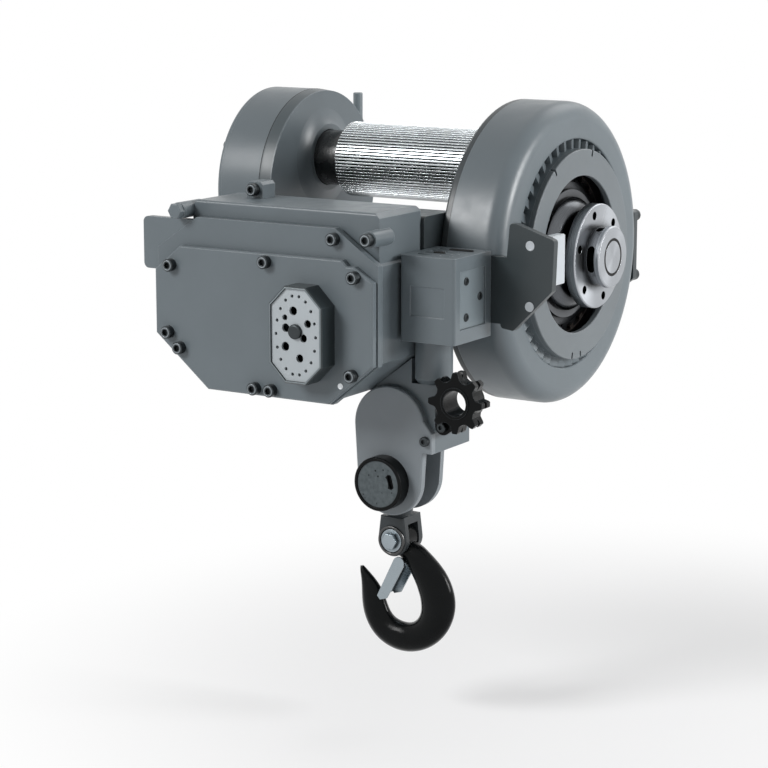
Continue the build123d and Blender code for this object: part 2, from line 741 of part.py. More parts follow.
def case_body():
    back_of_flange = CASE_FRONT + CASE_FLANGE_T
    body = raised(octagon(0), CASE_FRONT, back_of_flange)
    body += raised(octagon(CASE_STEP), back_of_flange, CASE_BACK)
    x0, x1 = CASE_HEAD_X
    head = block(x0, x1, CASE_HEAD_FRONT, CASE_BACK, 0, CASE_HEAD_Z)
    head = chamfer(head.edges().filter_by(Axis.Y).sort_by(Axis.Z)[-2:], 5.0)
    body += fillet(head.faces().sort_by(Axis.Z)[-1].edges().filter_by(Axis.X), 3.0)
    corners = spots((CORNER_BOSS_LEFT, CORNER_BOSS_RIGHT), CORNER_BOSS_R)
    body += raised(corners, CORNER_BOSS_FRONT, CORNER_BOSS_BACK)
    body -= raised(cover_outline(CASE_WALL), CASE_FRONT, CASE_BACK - CASE_BACK_WALL)
    holes = spots(COVER_SCREWS + (FLANGE_SCREW,), SCREW_R + SEAT)
    body -= raised(holes, CASE_FRONT, CASE_FRONT + COVER_SCREW_L)
    bores = spots((CORNER_BOSS_LEFT, CORNER_BOSS_RIGHT), SCREW_R + SEAT)
    return body - raised(bores, CORNER_BOSS_FRONT, CORNER_BOSS_FRONT + COVER_SCREW_L)


def cover_gasket():
    ring = cover_outline(COVER_INSET + 1) - cover_outline(CASE_WALL)
    ring -= spots(COVER_SCREWS, SCREW_HOLE_R)
    return raised(ring, CASE_FRONT - GASKET_T, CASE_FRONT)


def case_cover():
    back = CASE_FRONT - GASKET_T
    plate = raised(cover_outline(COVER_INSET), back - COVER_T, back)
    front = plate.faces().sort_by(Axis.Y)[0]
    plate = chamfer(front.edges(), 1.5)
    plate -= raised(spots(COVER_SCREWS, SCREW_HOLE_R), back - COVER_T, back)
    plate -= raised(spots((COVER_DOWEL,), DOWEL_R), back - COVER_T, back - COVER_T + 3)
    return plate - raised(vent_octagon(VENT_WALL), back - COVER_T, back)


def case_screws():
    face = CASE_FRONT - GASKET_T - COVER_T
    screw = socket_screw(SCREW_R, COVER_SCREW_L - 1, SCREW_HEAD_R, SCREW_HEAD_H)
    places = [(x, face, z) for x, z in COVER_SCREWS]
    places.append((FLANGE_SCREW[0], CASE_FRONT, FLANGE_SCREW[1]))
    places.append((CORNER_BOSS_RIGHT[0], CORNER_BOSS_FRONT, CORNER_BOSS_RIGHT[1]))
    x, y = TOP_LUG_AT
    places.append((x, y - TOP_LUG[1] / 2, CASE_HEAD_Z + TOP_LUG_SCREW_RISE))
    return Part() + [facing_front(*place) * screw for place in places]


def corner_plug():
    x, z = CORNER_BOSS_LEFT
    y = CORNER_BOSS_FRONT
    shank = disc_y(y, y + COVER_SCREW_L - 2, SCREW_R, x, z)
    collar = disc_y(y - 3, y, CORNER_BOSS_R, x, z)
    head = raised(Pos(x, z) * RegularPolygon(CORNER_BOSS_R, 6), y - 10, y - 3)
    return shank + collar + chamfer(head.edges().filter_by(Plane.XZ).sort_by(Axis.Y)[:6], 0.8)


def top_lug():
    w, d, h = TOP_LUG
    x, y = TOP_LUG_AT
    lug = block(x - w / 2, x + w / 2, y - d / 2, y + d / 2, CASE_HEAD_Z, CASE_HEAD_Z + h)
    lug = chamfer(lug.edges().filter_by(Axis.Y).sort_by(Axis.Z)[-2:], 3.0)
    front = y - d / 2
    hole = disc_y(front, front + COVER_SCREW_L, SCREW_R + SEAT, x,
                  CASE_HEAD_Z + TOP_LUG_SCREW_RISE)
    return lug - hole


def side_plate():
    y0 = CASE_FRONT
    x0, x1 = SIDE_PLATE_X
    z0, z1 = SIDE_PLATE_Z
    plate = block(x0, x1, y0, y0 + SIDE_PLATE_T, z0, z1)
    plate = fillet(plate.edges().filter_by(Axis.Y).sort_by(Axis.X)[:2], 6.0)
    return plate - raised(octagon(0), y0, y0 + SIDE_PLATE_T)


# Vent port
def vent_octagon(inset):
    w, h = VENT_HALF_W, VENT_HALF_H
    c = VENT_CUT
    face = outline([(w - c, h), (w, h - c), (w, c - h), (w - c, -h), (c - w, -h), (-w, c - h),
                    (-w, h - c), (c - w, h)])
    face = offset(face, amount=-inset, kind=Kind.INTERSECTION) if inset else face
    return Pos(VENT_X, VENT_Z) * face


def vent_frame():
    back = CASE_FRONT - GASKET_T - COVER_T
    frame = raised(vent_octagon(0), back - VENT_DEPTH, back)
    frame = chamfer(frame.faces().sort_by(Axis.Y)[0].edges(), 1.5)
    frame -= raised(vent_octagon(VENT_WALL), back - VENT_DEPTH, back)
    return frame - raised(vent_octagon(VENT_WALL / 2), back - VENT_DEPTH, back - VENT_DEPTH + 5)


def vent_plate():
    front = CASE_FRONT - GASKET_T - COVER_T - VENT_DEPTH + VENT_LIP
    plate = vent_octagon(VENT_WALL / 2 + 0.2)
    rim = []
    for k in range(18):
        a = 2 * pi * k / 18
        rim.append((VENT_X + (VENT_HALF_W - 8) * cos(a), VENT_Z + (VENT_HALF_H - 9) * sin(a)))
    plate -= spots(rim, VENT_RING_HOLE_R)
    plate -= [Pos(VENT_X + x, VENT_Z + z) * Circle(r) for x, z, r in VENT_HOLES]
    return raised(plate, front, front + VENT_PLATE_T)


def vent_boss():
    front = CASE_FRONT - GASKET_T - COVER_T - VENT_DEPTH + VENT_LIP
    knob = disc_y(front - 4, front, VENT_BOSS_R, VENT_X, VENT_Z + VENT_BOSS_RISE)
    knob = fillet(knob.edges().filter_by(GeomType.CIRCLE).sort_by(Axis.Y)[0], 2.0)
    return knob


# Inside the case
def contactors():
    back = CASE_BACK - CASE_BACK_WALL
    step = back - CONTACTOR_DEPTH
    z0, z1 = CONTACTOR_Z
    units = []
    for k in range(CONTACTOR_COUNT):
        x0 = CONTACTOR_START + CONTACTOR_PITCH * k
        x1 = x0 + CONTACTOR_W
        unit = block(x0, x1, step, back, z0, z1)
        inset = CONTACTOR_INSET
        unit += block(x0 + inset, x1 - inset, step - inset, step, z0 + 2 * inset, z1 - 2 * inset)
        units.append(unit)
    return Part() + units


def transformer():
    back = CASE_BACK - CASE_BACK_WALL
    front = back - TRANSFORMER_DEPTH
    x0, x1 = TRANSFORMER_X
    z0, z1 = TRANSFORMER_Z
    w = TRANSFORMER_LIMB
    core = block(x0, x1, front, back, z0, z1)
    return core - block(x0 + 2 * w, x1 - 2 * w, front, front + 2 * w, z0 + w, z1 - w)


# Terminal box
def terminal_box():
    x0, x1 = BOX_X
    y0, y1 = BOX_Y
    z0, z1 = BOX_Z
    w = BOX_WALL
    box = block(x0, x1, y0, y1, z0, z1)
    box = fillet(box.edges().filter_by(Axis.Z).sort_by(Axis.Y)[:2], BOX_EDGE_R)
    box -= block(x0 + w, x1 - w, y0 + w, y1 - w, z0 + w, z1 - w)
    fy, fz = BOX_LID_FRAME
    box -= block(x1 - w, x1, y0 + fy, y1 - fy, z0 + fz, z1 - fz)
    for k in range(4):
        y = y0 + 14 + 14 * k
        box -= block(x0 + 10, x1 - 12, y, y + 4, z1 - 1.2, z1)
    return box - block(x0 + 12, x1 - 12, y0, y0 + 0.8, z0 + 26, z1 - 30)


def terminal_box_lid():
    x1 = BOX_X[1] - BOX_LID_RECESS
    fy, fz = BOX_LID_FRAME
    gap = 0.15
    lid = block(x1 - BOX_LID_T, x1, BOX_Y[0] + fy + gap, BOX_Y[1] - fy - gap,
                BOX_Z[0] + fz + gap, BOX_Z[1] - fz - gap)
    return lid - [disc_x(x1 - BOX_LID_T, x1, SMALL_HOLE_R, *at) for at in lid_screw_points()]


def lid_screw_points():
    y0, y1 = BOX_Y
    z0, z1 = BOX_Z
    fy, fz = BOX_LID_FRAME
    return [(y0 + fy + 14, z1 - fz - 11), (y0 + fy + 14, z0 + fz + 11), (y1 - fy - 9, (z0 + z1) / 2)]


def small_screws():
    shank_r = SMALL_SCREW_R - SEAT
    screw = socket_screw(shank_r, SMALL_SCREW_L, SMALL_HEAD_R, SMALL_HEAD_H)
    lid_screw = socket_screw(shank_r, LID_SCREW_L, LID_HEAD_R, LID_HEAD_H)
    places = [Pos(END_OUTER, y, z) * Rot(0, -90, 0) * screw for y, z in end_boss_points()]
    lid_x = BOX_X[1] - BOX_LID_RECESS
    places += [Pos(lid_x, y, z) * Rot(0, 90, 0) * lid_screw for y, z in lid_screw_points()]
    x, z = FOOT_SCREW
    places.append(facing_front(x, CHEEK_FRONT - CHEEK_T, z) * screw)
    x, z = LUG_SCREW
    places.append(facing_front(x, CHEEK_FRONT, z) * screw)
    return Part() + places


# Side ears
def ear_front():
    plate = outline([(-24, -54), (-9, -56), (34, -13), (36, 38), (-7, 52), (-14, 52)])
    arm = outline([(EAR_PAD_X[0], EAR_PAD_Z[0]), (-18, EAR_PAD_Z[0]), (-12, EAR_PAD_Z[1]),
                   (EAR_PAD_X[0], EAR_PAD_Z[1])])
    ear = raised(plate, -EAR_OUTER, -EAR_INNER)
    ear = fillet(ear.edges().filter_by(Axis.Y), EAR_EDGE_R * 0.6)
    ear += raised(arm, -EAR_OUTER, -EAR_INNER)
    pad = block(*EAR_PAD_X, -EAR_INNER, -HOUSING_R * 0.9, *EAR_PAD_Z)
    pad -= disc_x(BACK_FACE, 0, HOUSING_R + EAR_STANDOFF / 2)
    return ear + pad - raised(spots(EAR_HOLES, EAR_HOLE_R), -EAR_OUTER, -EAR_INNER)


def guide_block():
    x0, x1 = GUIDE_BLOCK_X
    body = block(x0, x1, -EAR_INNER, -EAR_INNER + GUIDE_BLOCK_DEPTH, *GUIDE_BLOCK_Z)
    return fillet(body.edges().filter_by(Axis.Y), 2.0)


def ear_rear():
    x0, x1 = REAR_EAR_X
    z0, z1 = REAR_EAR_Z
    plate = outline([(x0, z0), (x1 - 16, z0), (x1, z0 + 12), (x1, z1 - 14), (x1 - 22, z1), (x0, z1)])
    ear = raised(plate, EAR_INNER, EAR_OUTER)
    ear = fillet(ear.edges().filter_by(Axis.Y), EAR_EDGE_R * 0.6)
    pad = block(*EAR_PAD_X, HOUSING_R * 0.9, EAR_INNER, *EAR_PAD_Z)
    pad -= disc_x(BACK_FACE, 0, HOUSING_R + EAR_STANDOFF / 2)
    return ear + pad - raised(spots(REAR_SCREWS, SCREW_R + SEAT), EAR_INNER, EAR_OUTER)


def ear_screws():
    screw = socket_screw(SCREW_R, EAR_T, SCREW_HEAD_R, REAR_SCREW_HEAD_H)
    return Part() + [Pos(x, EAR_OUTER, z) * Rot(-90, 0, 0) * screw for x, z in REAR_SCREWS]


# Hook block
def hanger():
    z0, z1 = SHELF_Z
    right = SHELF_X[1]
    low_x, low_z = CASE_X[1] - CASE_LOW_CUT_RIGHT[0], CASE_Z[0]
    side_x, side_z = CASE_X[1], CASE_Z[0] + CASE_LOW_CUT_RIGHT[1]
    shift = CASE_STEP * 0.7
    base, top = PLATFORM_Z
    web = outline([(low_x - shift, low_z + shift + 1), (WEB_TOP_X, side_z - 3),
                   (WEB_TOP_X, top), (PLATFORM_X, top), (PLATFORM_X, base), (right, base - WEB_STEP),
                   (right, z0), (LEG_X, z0), (LEG_X, base), (low_x - shift, base)])
    body = raised(web, CHEEK_FRONT, CHEEK_REAR)
    body -= raised(octagon(CASE_STEP), CASE_FRONT, CASE_BACK)
    body += block(low_x, side_x, CASE_BACK, CASE_BACK + HANGER_ARM_L, top - 2, FRAME_Z[0])
    body += hanger_neck(top)
    body += block(*SHELF_X, CHEEK_REAR, SHELF_BACK, z0, z1)
    body -= raised(cheek_outline(False), CHEEK_REAR, CHEEK_REAR + CHEEK_T)
    x, z = LUG_SCREW
    boss = make_hull((Pos(x, z) * Circle(LUG_R)).edges()
                     + (Pos(right - LUG_R / 2, z) * Rectangle(LUG_R / 2, 2 * LUG_R)).edges())
    body += raised(boss, CHEEK_FRONT + STAR_CARRIER_T, CHEEK_REAR)
    body -= block(CASE_X[0], BACK_FACE, *FRAME_Y, *FRAME_Z)
    for (x, z), y in ((FOOT_SCREW, CHEEK_FRONT), (LUG_SCREW, CHEEK_FRONT + STAR_CARRIER_T)):
        body -= disc_y(y, y + SMALL_SCREW_L, SMALL_SCREW_R, x, z)
    return body


def hanger_neck(foot_z):
    """Round neck that rises from the hanger's platform to the terminal box."""
    neck = disc_z(foot_z, BOX_Z[0], NECK_R, *NECK_XY)
    neck = chamfer(neck.edges().filter_by(GeomType.CIRCLE).sort_by(Axis.Z)[0], NECK_TAPER)
    return neck - block(CASE_X[0], CASE_X[1], CASE_FRONT, CASE_BACK, foot_z, CASE_Z[1])


def cheek_outline(with_foot):
    top = Pos(LOAD_X, SHEAVE_Z) * Circle(CHEEK_TOP_R)
    low = Pos(LOAD_X, TRUNNION_Z) * Circle(CHEEK_LOW_R)
    shape = make_hull(top.edges() + low.edges())
    if with_foot:
        z0, z1 = SHELF_Z
        right = SHELF_X[1]
        back, rise = FOOT_RISE
        shape += outline([(LOAD_X, SHEAVE_Z), (right - back, z1 + rise), (right, z1), (right, z0),
                          (LOAD_X, z0)])
    return shape


def cheek(y0, y1, with_foot):
    plate = raised(cheek_outline(with_foot), y0, y1)
    return plate - disc_y(y0, y1, TRUNNION_R + RUN, LOAD_X, TRUNNION_Z)


def cheek_front():
    y0 = CHEEK_FRONT - CHEEK_T
    plate = cheek(y0, CHEEK_FRONT, True)
    plate = chamfer(plate.faces().sort_by(Axis.Y)[0].outer_wire().edges(), 1.2)
    plate -= raised(spots((FOOT_SCREW,), SMALL_HOLE_R), y0, CHEEK_FRONT)
    return plate - disc_y(CHEEK_FRONT - PIN_DEPTH, CHEEK_FRONT, SHEAVE_PIN_R + SEAT,
                          LOAD_X, SHEAVE_Z)


def cheek_rear():
    y1 = CHEEK_REAR + CHEEK_T
    plate = cheek(CHEEK_REAR, y1, False)
    plate = chamfer(plate.faces().sort_by(Axis.Y)[-1].outer_wire().edges(), 1.2)
    return plate - disc_y(CHEEK_REAR, CHEEK_REAR + PIN_DEPTH, SHEAVE_PIN_R + SEAT,
                          LOAD_X, SHEAVE_Z)


def sheave_pin():
    return disc_y(CHEEK_FRONT - PIN_DEPTH, CHEEK_REAR + PIN_DEPTH, SHEAVE_PIN_R, LOAD_X, SHEAVE_Z)


def sheave():
    y0, y1 = BLOCK_Y - SHEAVE_W / 2, BLOCK_Y + SHEAVE_W / 2
    wheel = disc_y(y0, y1, SHEAVE_R, LOAD_X, SHEAVE_Z)
    groove = Pos(LOAD_X, BLOCK_Y, SHEAVE_Z) * Rot(90, 0, 0) * Torus(SHEAVE_R + 1, SHEAVE_GROOVE_R)
    return wheel - groove - disc_y(y0, y1, SHEAVE_PIN_R + RUN, LOAD_X, SHEAVE_Z)


def trunnion_caps():
    x, z = LOAD_X + CAP_SHIFT[0], TRUNNION_Z + CAP_SHIFT[1]
    y0 = CHEEK_FRONT - CHEEK_T
    front = disc_y(y0 - CAP_T, y0, CAP_R, x, z)
    front = chamfer(front.edges().filter_by(GeomType.CIRCLE).sort_by(Axis.Y)[0], 1.0)
    front -= disc_y(y0 - CAP_T, y0 - CAP_T + CAP_RECESS, CAP_R - CAP_RIM, x, z)
    slot = Pos(x + 15, z + 4) * Rot(0, 0, 105) * SlotOverall(15, 5)
    front -= raised(slot, y0 - CAP_T, y0 - CAP_T + CAP_RECESS + 3)
    y1 = CHEEK_REAR + CHEEK_T
    rear = disc_y(y1, y1 + REAR_CAP_T, CAP_R, x, z)
    rear = chamfer(rear.edges().filter_by(GeomType.CIRCLE).sort_by(Axis.Y)[-1], 1.0)
    return Part() + [front, rear]


# Star wheel
def star_carrier():
    y1 = CHEEK_FRONT + STAR_CARRIER_T
    hub = (Pos(STAR_X, STAR_Z) * Circle(STAR_BOSS_R)).edges()
    base, top = PLATFORM_Z
    root = Pos(PLATFORM_X + 6, (base + top) / 2 - 1) * Rectangle(12, top - base - 2)
    arms = make_hull(hub + root.edges()) + make_hull(hub + (Pos(*LUG_SCREW) * Circle(LUG_R)).edges())
    body = raised(arms, CHEEK_FRONT, y1)
    body -= raised(spots((LUG_SCREW,), SMALL_HOLE_R), CHEEK_FRONT, y1)
    body += disc_y(STAR_Y[0] - 1, CHEEK_FRONT, STAR_JOURNAL_R, STAR_X, STAR_Z)
    return body - disc_y(STAR_Y[0] - 1, y1, STAR_BORE_R, STAR_X, STAR_Z)


def star_wheel():
    step = 2 * pi / STAR_LOBES
    shape = ((STAR_ROOT_R, -0.5), (STAR_ROOT_R + 1.5, -0.27), (STAR_TIP_R - 1.5, -0.15),
             (STAR_TIP_R, -0.10), (STAR_TIP_R, 0.10), (STAR_TIP_R - 1.5, 0.15),
             (STAR_ROOT_R + 1.5, 0.27))
    points = []
    for k in range(STAR_LOBES):
        points += [(r * cos((k + f) * step), r * sin((k + f) * step)) for r, f in shape]
    y0, y1 = STAR_Y
    wheel = raised(Pos(STAR_X, STAR_Z) * outline(points), y0, y1)
    middle = (y0 + y1) / 2
    groove = turned_y([(middle - 3, STAR_TIP_R + 1), (middle, STAR_ROOT_R + 2),
                       (middle + 3, STAR_TIP_R + 1)], STAR_X, STAR_Z)
    return wheel - groove - disc_y(y0, y1, STAR_JOURNAL_R + RUN, STAR_X, STAR_Z)


# Trunnion and clevis
def crosshead():
    hx, hy, hz = CROSSHEAD_HALF
    body = block(LOAD_X - hx, LOAD_X + hx, BLOCK_Y - hy, BLOCK_Y + hy,
                 TRUNNION_Z - hz, TRUNNION_Z + hz)
    body = fillet(body.edges().filter_by(Axis.Y), 5.0)
    body += disc_y(CHEEK_FRONT - CHEEK_T, CHEEK_REAR + CHEEK_T, TRUNNION_R, LOAD_X, TRUNNION_Z)
    return body - disc_z(TRUNNION_Z - hz, TRUNNION_Z + hz, STUD_R + RUN, LOAD_X, BLOCK_Y)


def hook_clevis():
    top = TRUNNION_Z - YOKE_DROP
    low = top - YOKE_T
    stud_top = TRUNNION_Z + CROSSHEAD_HALF[2] + SWIVEL_NUT_T + 1
    body = disc_z(top, stud_top, STUD_R, LOAD_X, BLOCK_Y)
    body += disc_z(top, TRUNNION_Z - CROSSHEAD_HALF[2] - YOKE_NECK_GAP, YOKE_NECK_R, LOAD_X, BLOCK_Y)
    ear = Pos(LOAD_X, BOLT_Z) * Circle(CLEVIS_END_R)
    crown = Pos(LOAD_X, top - YOKE_T / 2) * Rectangle(2 * YOKE_HALF_X, YOKE_T)
    shape = make_hull(ear.edges() + crown.edges())
    fork = raised(shape, BLOCK_Y - YOKE_HALF_Y, BLOCK_Y + YOKE_HALF_Y)
    reach = CLEVIS_END_R + 1
    fork -= block(LOAD_X - reach, LOAD_X + reach, BLOCK_Y - EAR_GAP, BLOCK_Y + EAR_GAP,
                  BOLT_Z - reach, low)
    fork = chamfer(fork.faces().sort_by(Axis.Y)[0].edges(), 1.2)
    bolt_hole = disc_y(BLOCK_Y - YOKE_HALF_Y, BLOCK_Y + YOKE_HALF_Y, BOLT_R + SEAT,
                       LOAD_X, BOLT_Z)
    return body + fork - bolt_hole


def swivel_nut():
    z0 = TRUNNION_Z + CROSSHEAD_HALF[2] + RUN
    nut = extrude(Pos(LOAD_X, BLOCK_Y, z0) * RegularPolygon(SWIVEL_NUT_R, 6), amount=SWIVEL_NUT_T)
    return nut - disc_z(z0, z0 + SWIVEL_NUT_T, STUD_R + SEAT, LOAD_X, BLOCK_Y)


def clevis_bolt():
    y0, y1 = BLOCK_Y - YOKE_HALF_Y, BLOCK_Y + YOKE_HALF_Y
    bolt = disc_y(y0, y1 + BOLT_TAIL, BOLT_R, LOAD_X, BOLT_Z)
    washer = disc_y(y0 - BOLT_WASHER_T, y0, BOLT_WASHER_R, LOAD_X, BOLT_Z)
    bolt += chamfer(washer.edges().filter_by(GeomType.CIRCLE).sort_by(Axis.Y)[0], 0.6)
    hexagon = Pos(LOAD_X, BOLT_Z) * RegularPolygon(BOLT_HEAD_R, 6)
    head_y = y0 - BOLT_WASHER_T
    return bolt + raised(hexagon, head_y - BOLT_HEAD_T, head_y)


def clevis_nut():
    y0 = BLOCK_Y + YOKE_HALF_Y
    nut = raised(Pos(LOAD_X, BOLT_Z) * RegularPolygon(BOLT_NUT_R, 6), y0, y0 + BOLT_NUT_T)
    return nut - disc_y(y0, y0 + BOLT_NUT_T, BOLT_R + SEAT, LOAD_X, BOLT_Z)


# Hook
def hook_station(angle_deg, radius, width, thick, lean_deg=0.0):
    """Elliptical hook section on a ray from the bowl centre, angle measured in (x, z)."""
    a = radians(angle_deg)
    lean = radians(angle_deg + lean_deg)
    centre = (BOWL_X + radius * cos(a), BLOCK_Y, BOWL_Z + radius * sin(a))
    out = (cos(lean), 0, sin(lean))
    along = (sin(lean), 0, -cos(lean))
    return Plane(origin=centre, x_dir=out, z_dir=along) * Ellipse(width / 2, thick / 2)


def hook():
    stations = (
        (93, 56, 23, 20, -30), (69, 47, 29, 24, -16), (38, 40.5, 37, 25, 0), (4, BOWL_R, 38.5, 26, 0),
        (-30, BOWL_R, 34, 26, 0), (-64, BOWL_R, 31, 25, 0), (-98, BOWL_R, 31, 24, 0),
        (-131, BOWL_R, 30, 22, 0), (-163, 38.5, 28, 20, 4), (-183, 40, 24.5, 16, 12),
        (-199, 47.5, 16.5, 11, 22), (-208.5, 60, 3.5, 4, 32),
    )
    body = loft([hook_station(*s) for s in stations])
    y0, y1 = BLOCK_Y - HOOK_EYE_HALF, BLOCK_Y + HOOK_EYE_HALF
    eye = disc_y(y0, y1, HOOK_EYE_R, LOAD_X, BOLT_Z)
    relief = CLEVIS_END_R + HOOK_RELIEF
    body -= [disc_y(BLOCK_Y - YOKE_HALF_Y, y0, relief, LOAD_X, BOLT_Z),
             disc_y(y1, BLOCK_Y + YOKE_HALF_Y, relief, LOAD_X, BOLT_Z)]
    body += fillet(eye.edges().filter_by(GeomType.CIRCLE), 2.0)
    body -= disc_y(y0, y1, BOLT_R + RUN, LOAD_X, BOLT_Z)
    x, z = LATCH_PIVOT
    body -= disc_y(y0 - 9, y1 + 9, LATCH_PIN_R + RUN, x, z)
    for side in (-1, 1):
        inner, outer = BLOCK_Y + side * 10, BLOCK_Y + side * 14
        body -= disc_y(min(inner, outer), max(inner, outer), LATCH_HEEL_R + 0.5, x, z)
    return body


def latch():
    """Pressed channel that closes the throat from its pivot to the hook tip."""
    px, pz = LATCH_PIVOT
    tx, tz = LATCH_TIP
    length = hypot(tx - px, tz - pz)
    along = ((tx - px) / length, (tz - pz) / length)
    left = (along[1], -along[0])

    def point(s, w):
        return (px + s * along[0] + w * left[0], pz + s * along[1] + w * left[1])

    shape = outline([point(0, LATCH_HEEL_R), point(length, 5.0), point(length + 2, 0.0),
                     point(length - 4, -6.0), point(0, -LATCH_HEEL_R)])
    shape += Pos(px, pz) * Circle(LATCH_HEEL_R)
    half = LATCH_SIDE + LATCH_SHEET
    body = raised(shape, BLOCK_Y - half, BLOCK_Y + half)
    room = outline([point(-12, 12), point(14, 12), point(14, LATCH_HEEL_R - 3.6),
                    point(length + 8, 5.0 - 3.0), point(length + 8, -12), point(-12, -12)])
    body -= raised(room, BLOCK_Y - LATCH_SIDE, BLOCK_Y + LATCH_SIDE)
    return body + disc_y(BLOCK_Y - half, BLOCK_Y + half, LATCH_PIN_R, px, pz)


def latch_springs():
    px, pz = LATCH_PIVOT
    coils = []
    for side in (-1, 1):
        inner, outer = BLOCK_Y + side * 10.1, BLOCK_Y + side * 13.1
        y0, y1 = min(inner, outer), max(inner, outer)
        coils.append(disc_y(y0, y1, LATCH_PIN_R + 2.4, px, pz)
                     - disc_y(y0, y1, LATCH_PIN_R + 0.1, px, pz))
    return Part() + coils


NODES = (
    motor_housing, motor_back_plate, bearing_plate, ball_bearings, vent_ring, face_ring,
    stator_core, stator_windings, rotor_bell, rotor_magnets, main_shaft, output_hub, nose_ring,
    motor_pinion, drum_gear, drum, drum_collar, drum_shaft, brake_disc, brake_magnet, end_bell,
    end_housing, end_cover, guide_post, bed_frame, case_body, cover_gasket, case_cover,
    case_screws, corner_plug, top_lug, side_plate, vent_frame, vent_plate, vent_boss,
    contactors, transformer, terminal_box, terminal_box_lid, small_screws, ear_front,
    guide_block, ear_rear, ear_screws, hanger, cheek_front, cheek_rear, sheave_pin, sheave,
    trunnion_caps, star_carrier, star_wheel, crosshead, hook_clevis, swivel_nut, clevis_bolt,
    clevis_nut, hook, latch, latch_springs,
)

os.makedirs(PARTS, exist_ok=True)
for node in NODES:
    export_step(node(), f"{PARTS}/{node.__name__}.step")
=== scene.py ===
# %% [markdown]
# Electric hoist, dressed for a studio picture.
# The hoist's solids come in as a fixed frame, already at their real size in metres.
# This notebook gives every surface its finish, adds the small pieces that a solid model leaves
# out, and sets the camera and the lights. The lesson goes from the camera to the paints, then
# piece by piece over the hoist.

from math import pi, radians

import bmesh
import bpy
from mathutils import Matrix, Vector


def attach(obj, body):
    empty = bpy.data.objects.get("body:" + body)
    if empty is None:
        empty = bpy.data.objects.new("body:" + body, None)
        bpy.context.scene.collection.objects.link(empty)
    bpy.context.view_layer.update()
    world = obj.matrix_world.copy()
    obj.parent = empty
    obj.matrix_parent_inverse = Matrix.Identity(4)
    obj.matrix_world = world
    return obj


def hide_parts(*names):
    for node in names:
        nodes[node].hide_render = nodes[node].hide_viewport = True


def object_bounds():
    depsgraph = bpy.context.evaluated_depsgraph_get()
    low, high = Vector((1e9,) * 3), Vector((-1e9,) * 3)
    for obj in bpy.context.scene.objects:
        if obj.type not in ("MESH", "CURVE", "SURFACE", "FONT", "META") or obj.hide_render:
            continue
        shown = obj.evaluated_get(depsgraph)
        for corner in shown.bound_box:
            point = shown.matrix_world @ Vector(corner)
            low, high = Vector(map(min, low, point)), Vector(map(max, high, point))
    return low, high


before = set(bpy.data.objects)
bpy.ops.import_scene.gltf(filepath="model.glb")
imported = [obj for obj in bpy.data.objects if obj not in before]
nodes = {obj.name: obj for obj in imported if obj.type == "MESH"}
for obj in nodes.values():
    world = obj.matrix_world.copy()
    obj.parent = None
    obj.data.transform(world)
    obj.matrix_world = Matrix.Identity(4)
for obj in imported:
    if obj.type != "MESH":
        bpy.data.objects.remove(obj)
scene = bpy.context.scene
solid_low, solid_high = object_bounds()
MM = 0.001

# %% [markdown]
# The camera comes first, because every later choice is judged through it.
# A product picture is taken from far away with a long lens, which keeps parallel edges nearly
# parallel. The lens below is in millimetres on a 36 mm wide sensor. The camera stands to the
# right of the hoist's front, a little above it, and looks along its own -Z axis, so its
# rotation is built from the elevation and the azimuth only.

# %% Camera
LENS = 112.5
CAMERA_AT = (1.1324, -2.2381, 0.3576)
AZIMUTH = 32.0
ELEVATION = 11.2

bpy.ops.object.camera_add(location=CAMERA_AT,
                          rotation=(radians(90 - ELEVATION), 0, radians(AZIMUTH)))
camera = bpy.context.object
camera.name = "camera"
camera.data.lens = LENS
scene.camera = camera
scene.view_settings.view_transform = "Standard"
print("camera lens", LENS, "mm")

# %% [markdown]
# A material in Blender is a small graph. Every finish below starts from the same two nodes, the
# Principled shader and the output, so the first helper makes them. The second one reads Light
# Path, which tells what kind of ray asks for a colour.

# %% First helpers
def material_with_shader(name):
    """A fresh node material, with its node tree and its Principled shader."""
    made = bpy.data.materials.new(name)
    made.use_nodes = True
    tree = made.node_tree
    return made, tree, tree.nodes["Principled BSDF"]


def math_node(tree, operation, first, second):
    """One step of arithmetic on sockets or plain numbers."""
    node = tree.nodes.new("ShaderNodeMath")
    node.operation = operation
    for socket, value in zip(node.inputs, (first, second)):
        if isinstance(value, (int, float)):
            socket.default_value = value
        else:
            tree.links.new(value, socket)
    return node.outputs[0]


def seen_by_camera(tree):
    """A value that is 1 on camera, mirror and glass rays, and 0 on the light that paint gets."""
    path = tree.nodes.new("ShaderNodeLightPath").outputs
    either = math_node(tree, "MAXIMUM", path["Is Camera Ray"], path["Is Glossy Ray"])
    return math_node(tree, "MAXIMUM", either, path["Is Transmission Ray"])


# %% [markdown]
# The hoist hangs free, so the floor lies well below the hook and only catches a soft shadow.
# Near the hoist it is mostly plain pale paint. Further out it turns into a white sheet, for the
# camera and for mirrors only, so that the floor has no visible end and no light is added to the
# hoist.
# The world is white in the same way.

# %% Floor and world
FLOOR_DROP = 0.07
FLOOR_SIZE = 60.0
SHEET_STARTS = 0.22
SHEET_IS_WHITE = 0.75
SHEET_AT_HOIST = 0.25
FLOOR_COLOUR = (0.88, 0.88, 0.885, 1)
WORLD_TO_PAINT = 0.20

bpy.ops.object.select_all(action="DESELECT")
bpy.ops.mesh.primitive_plane_add(size=FLOOR_SIZE, location=(0, 0, solid_low.z - FLOOR_DROP))
floor = bpy.context.object
floor.name = "studio_floor"

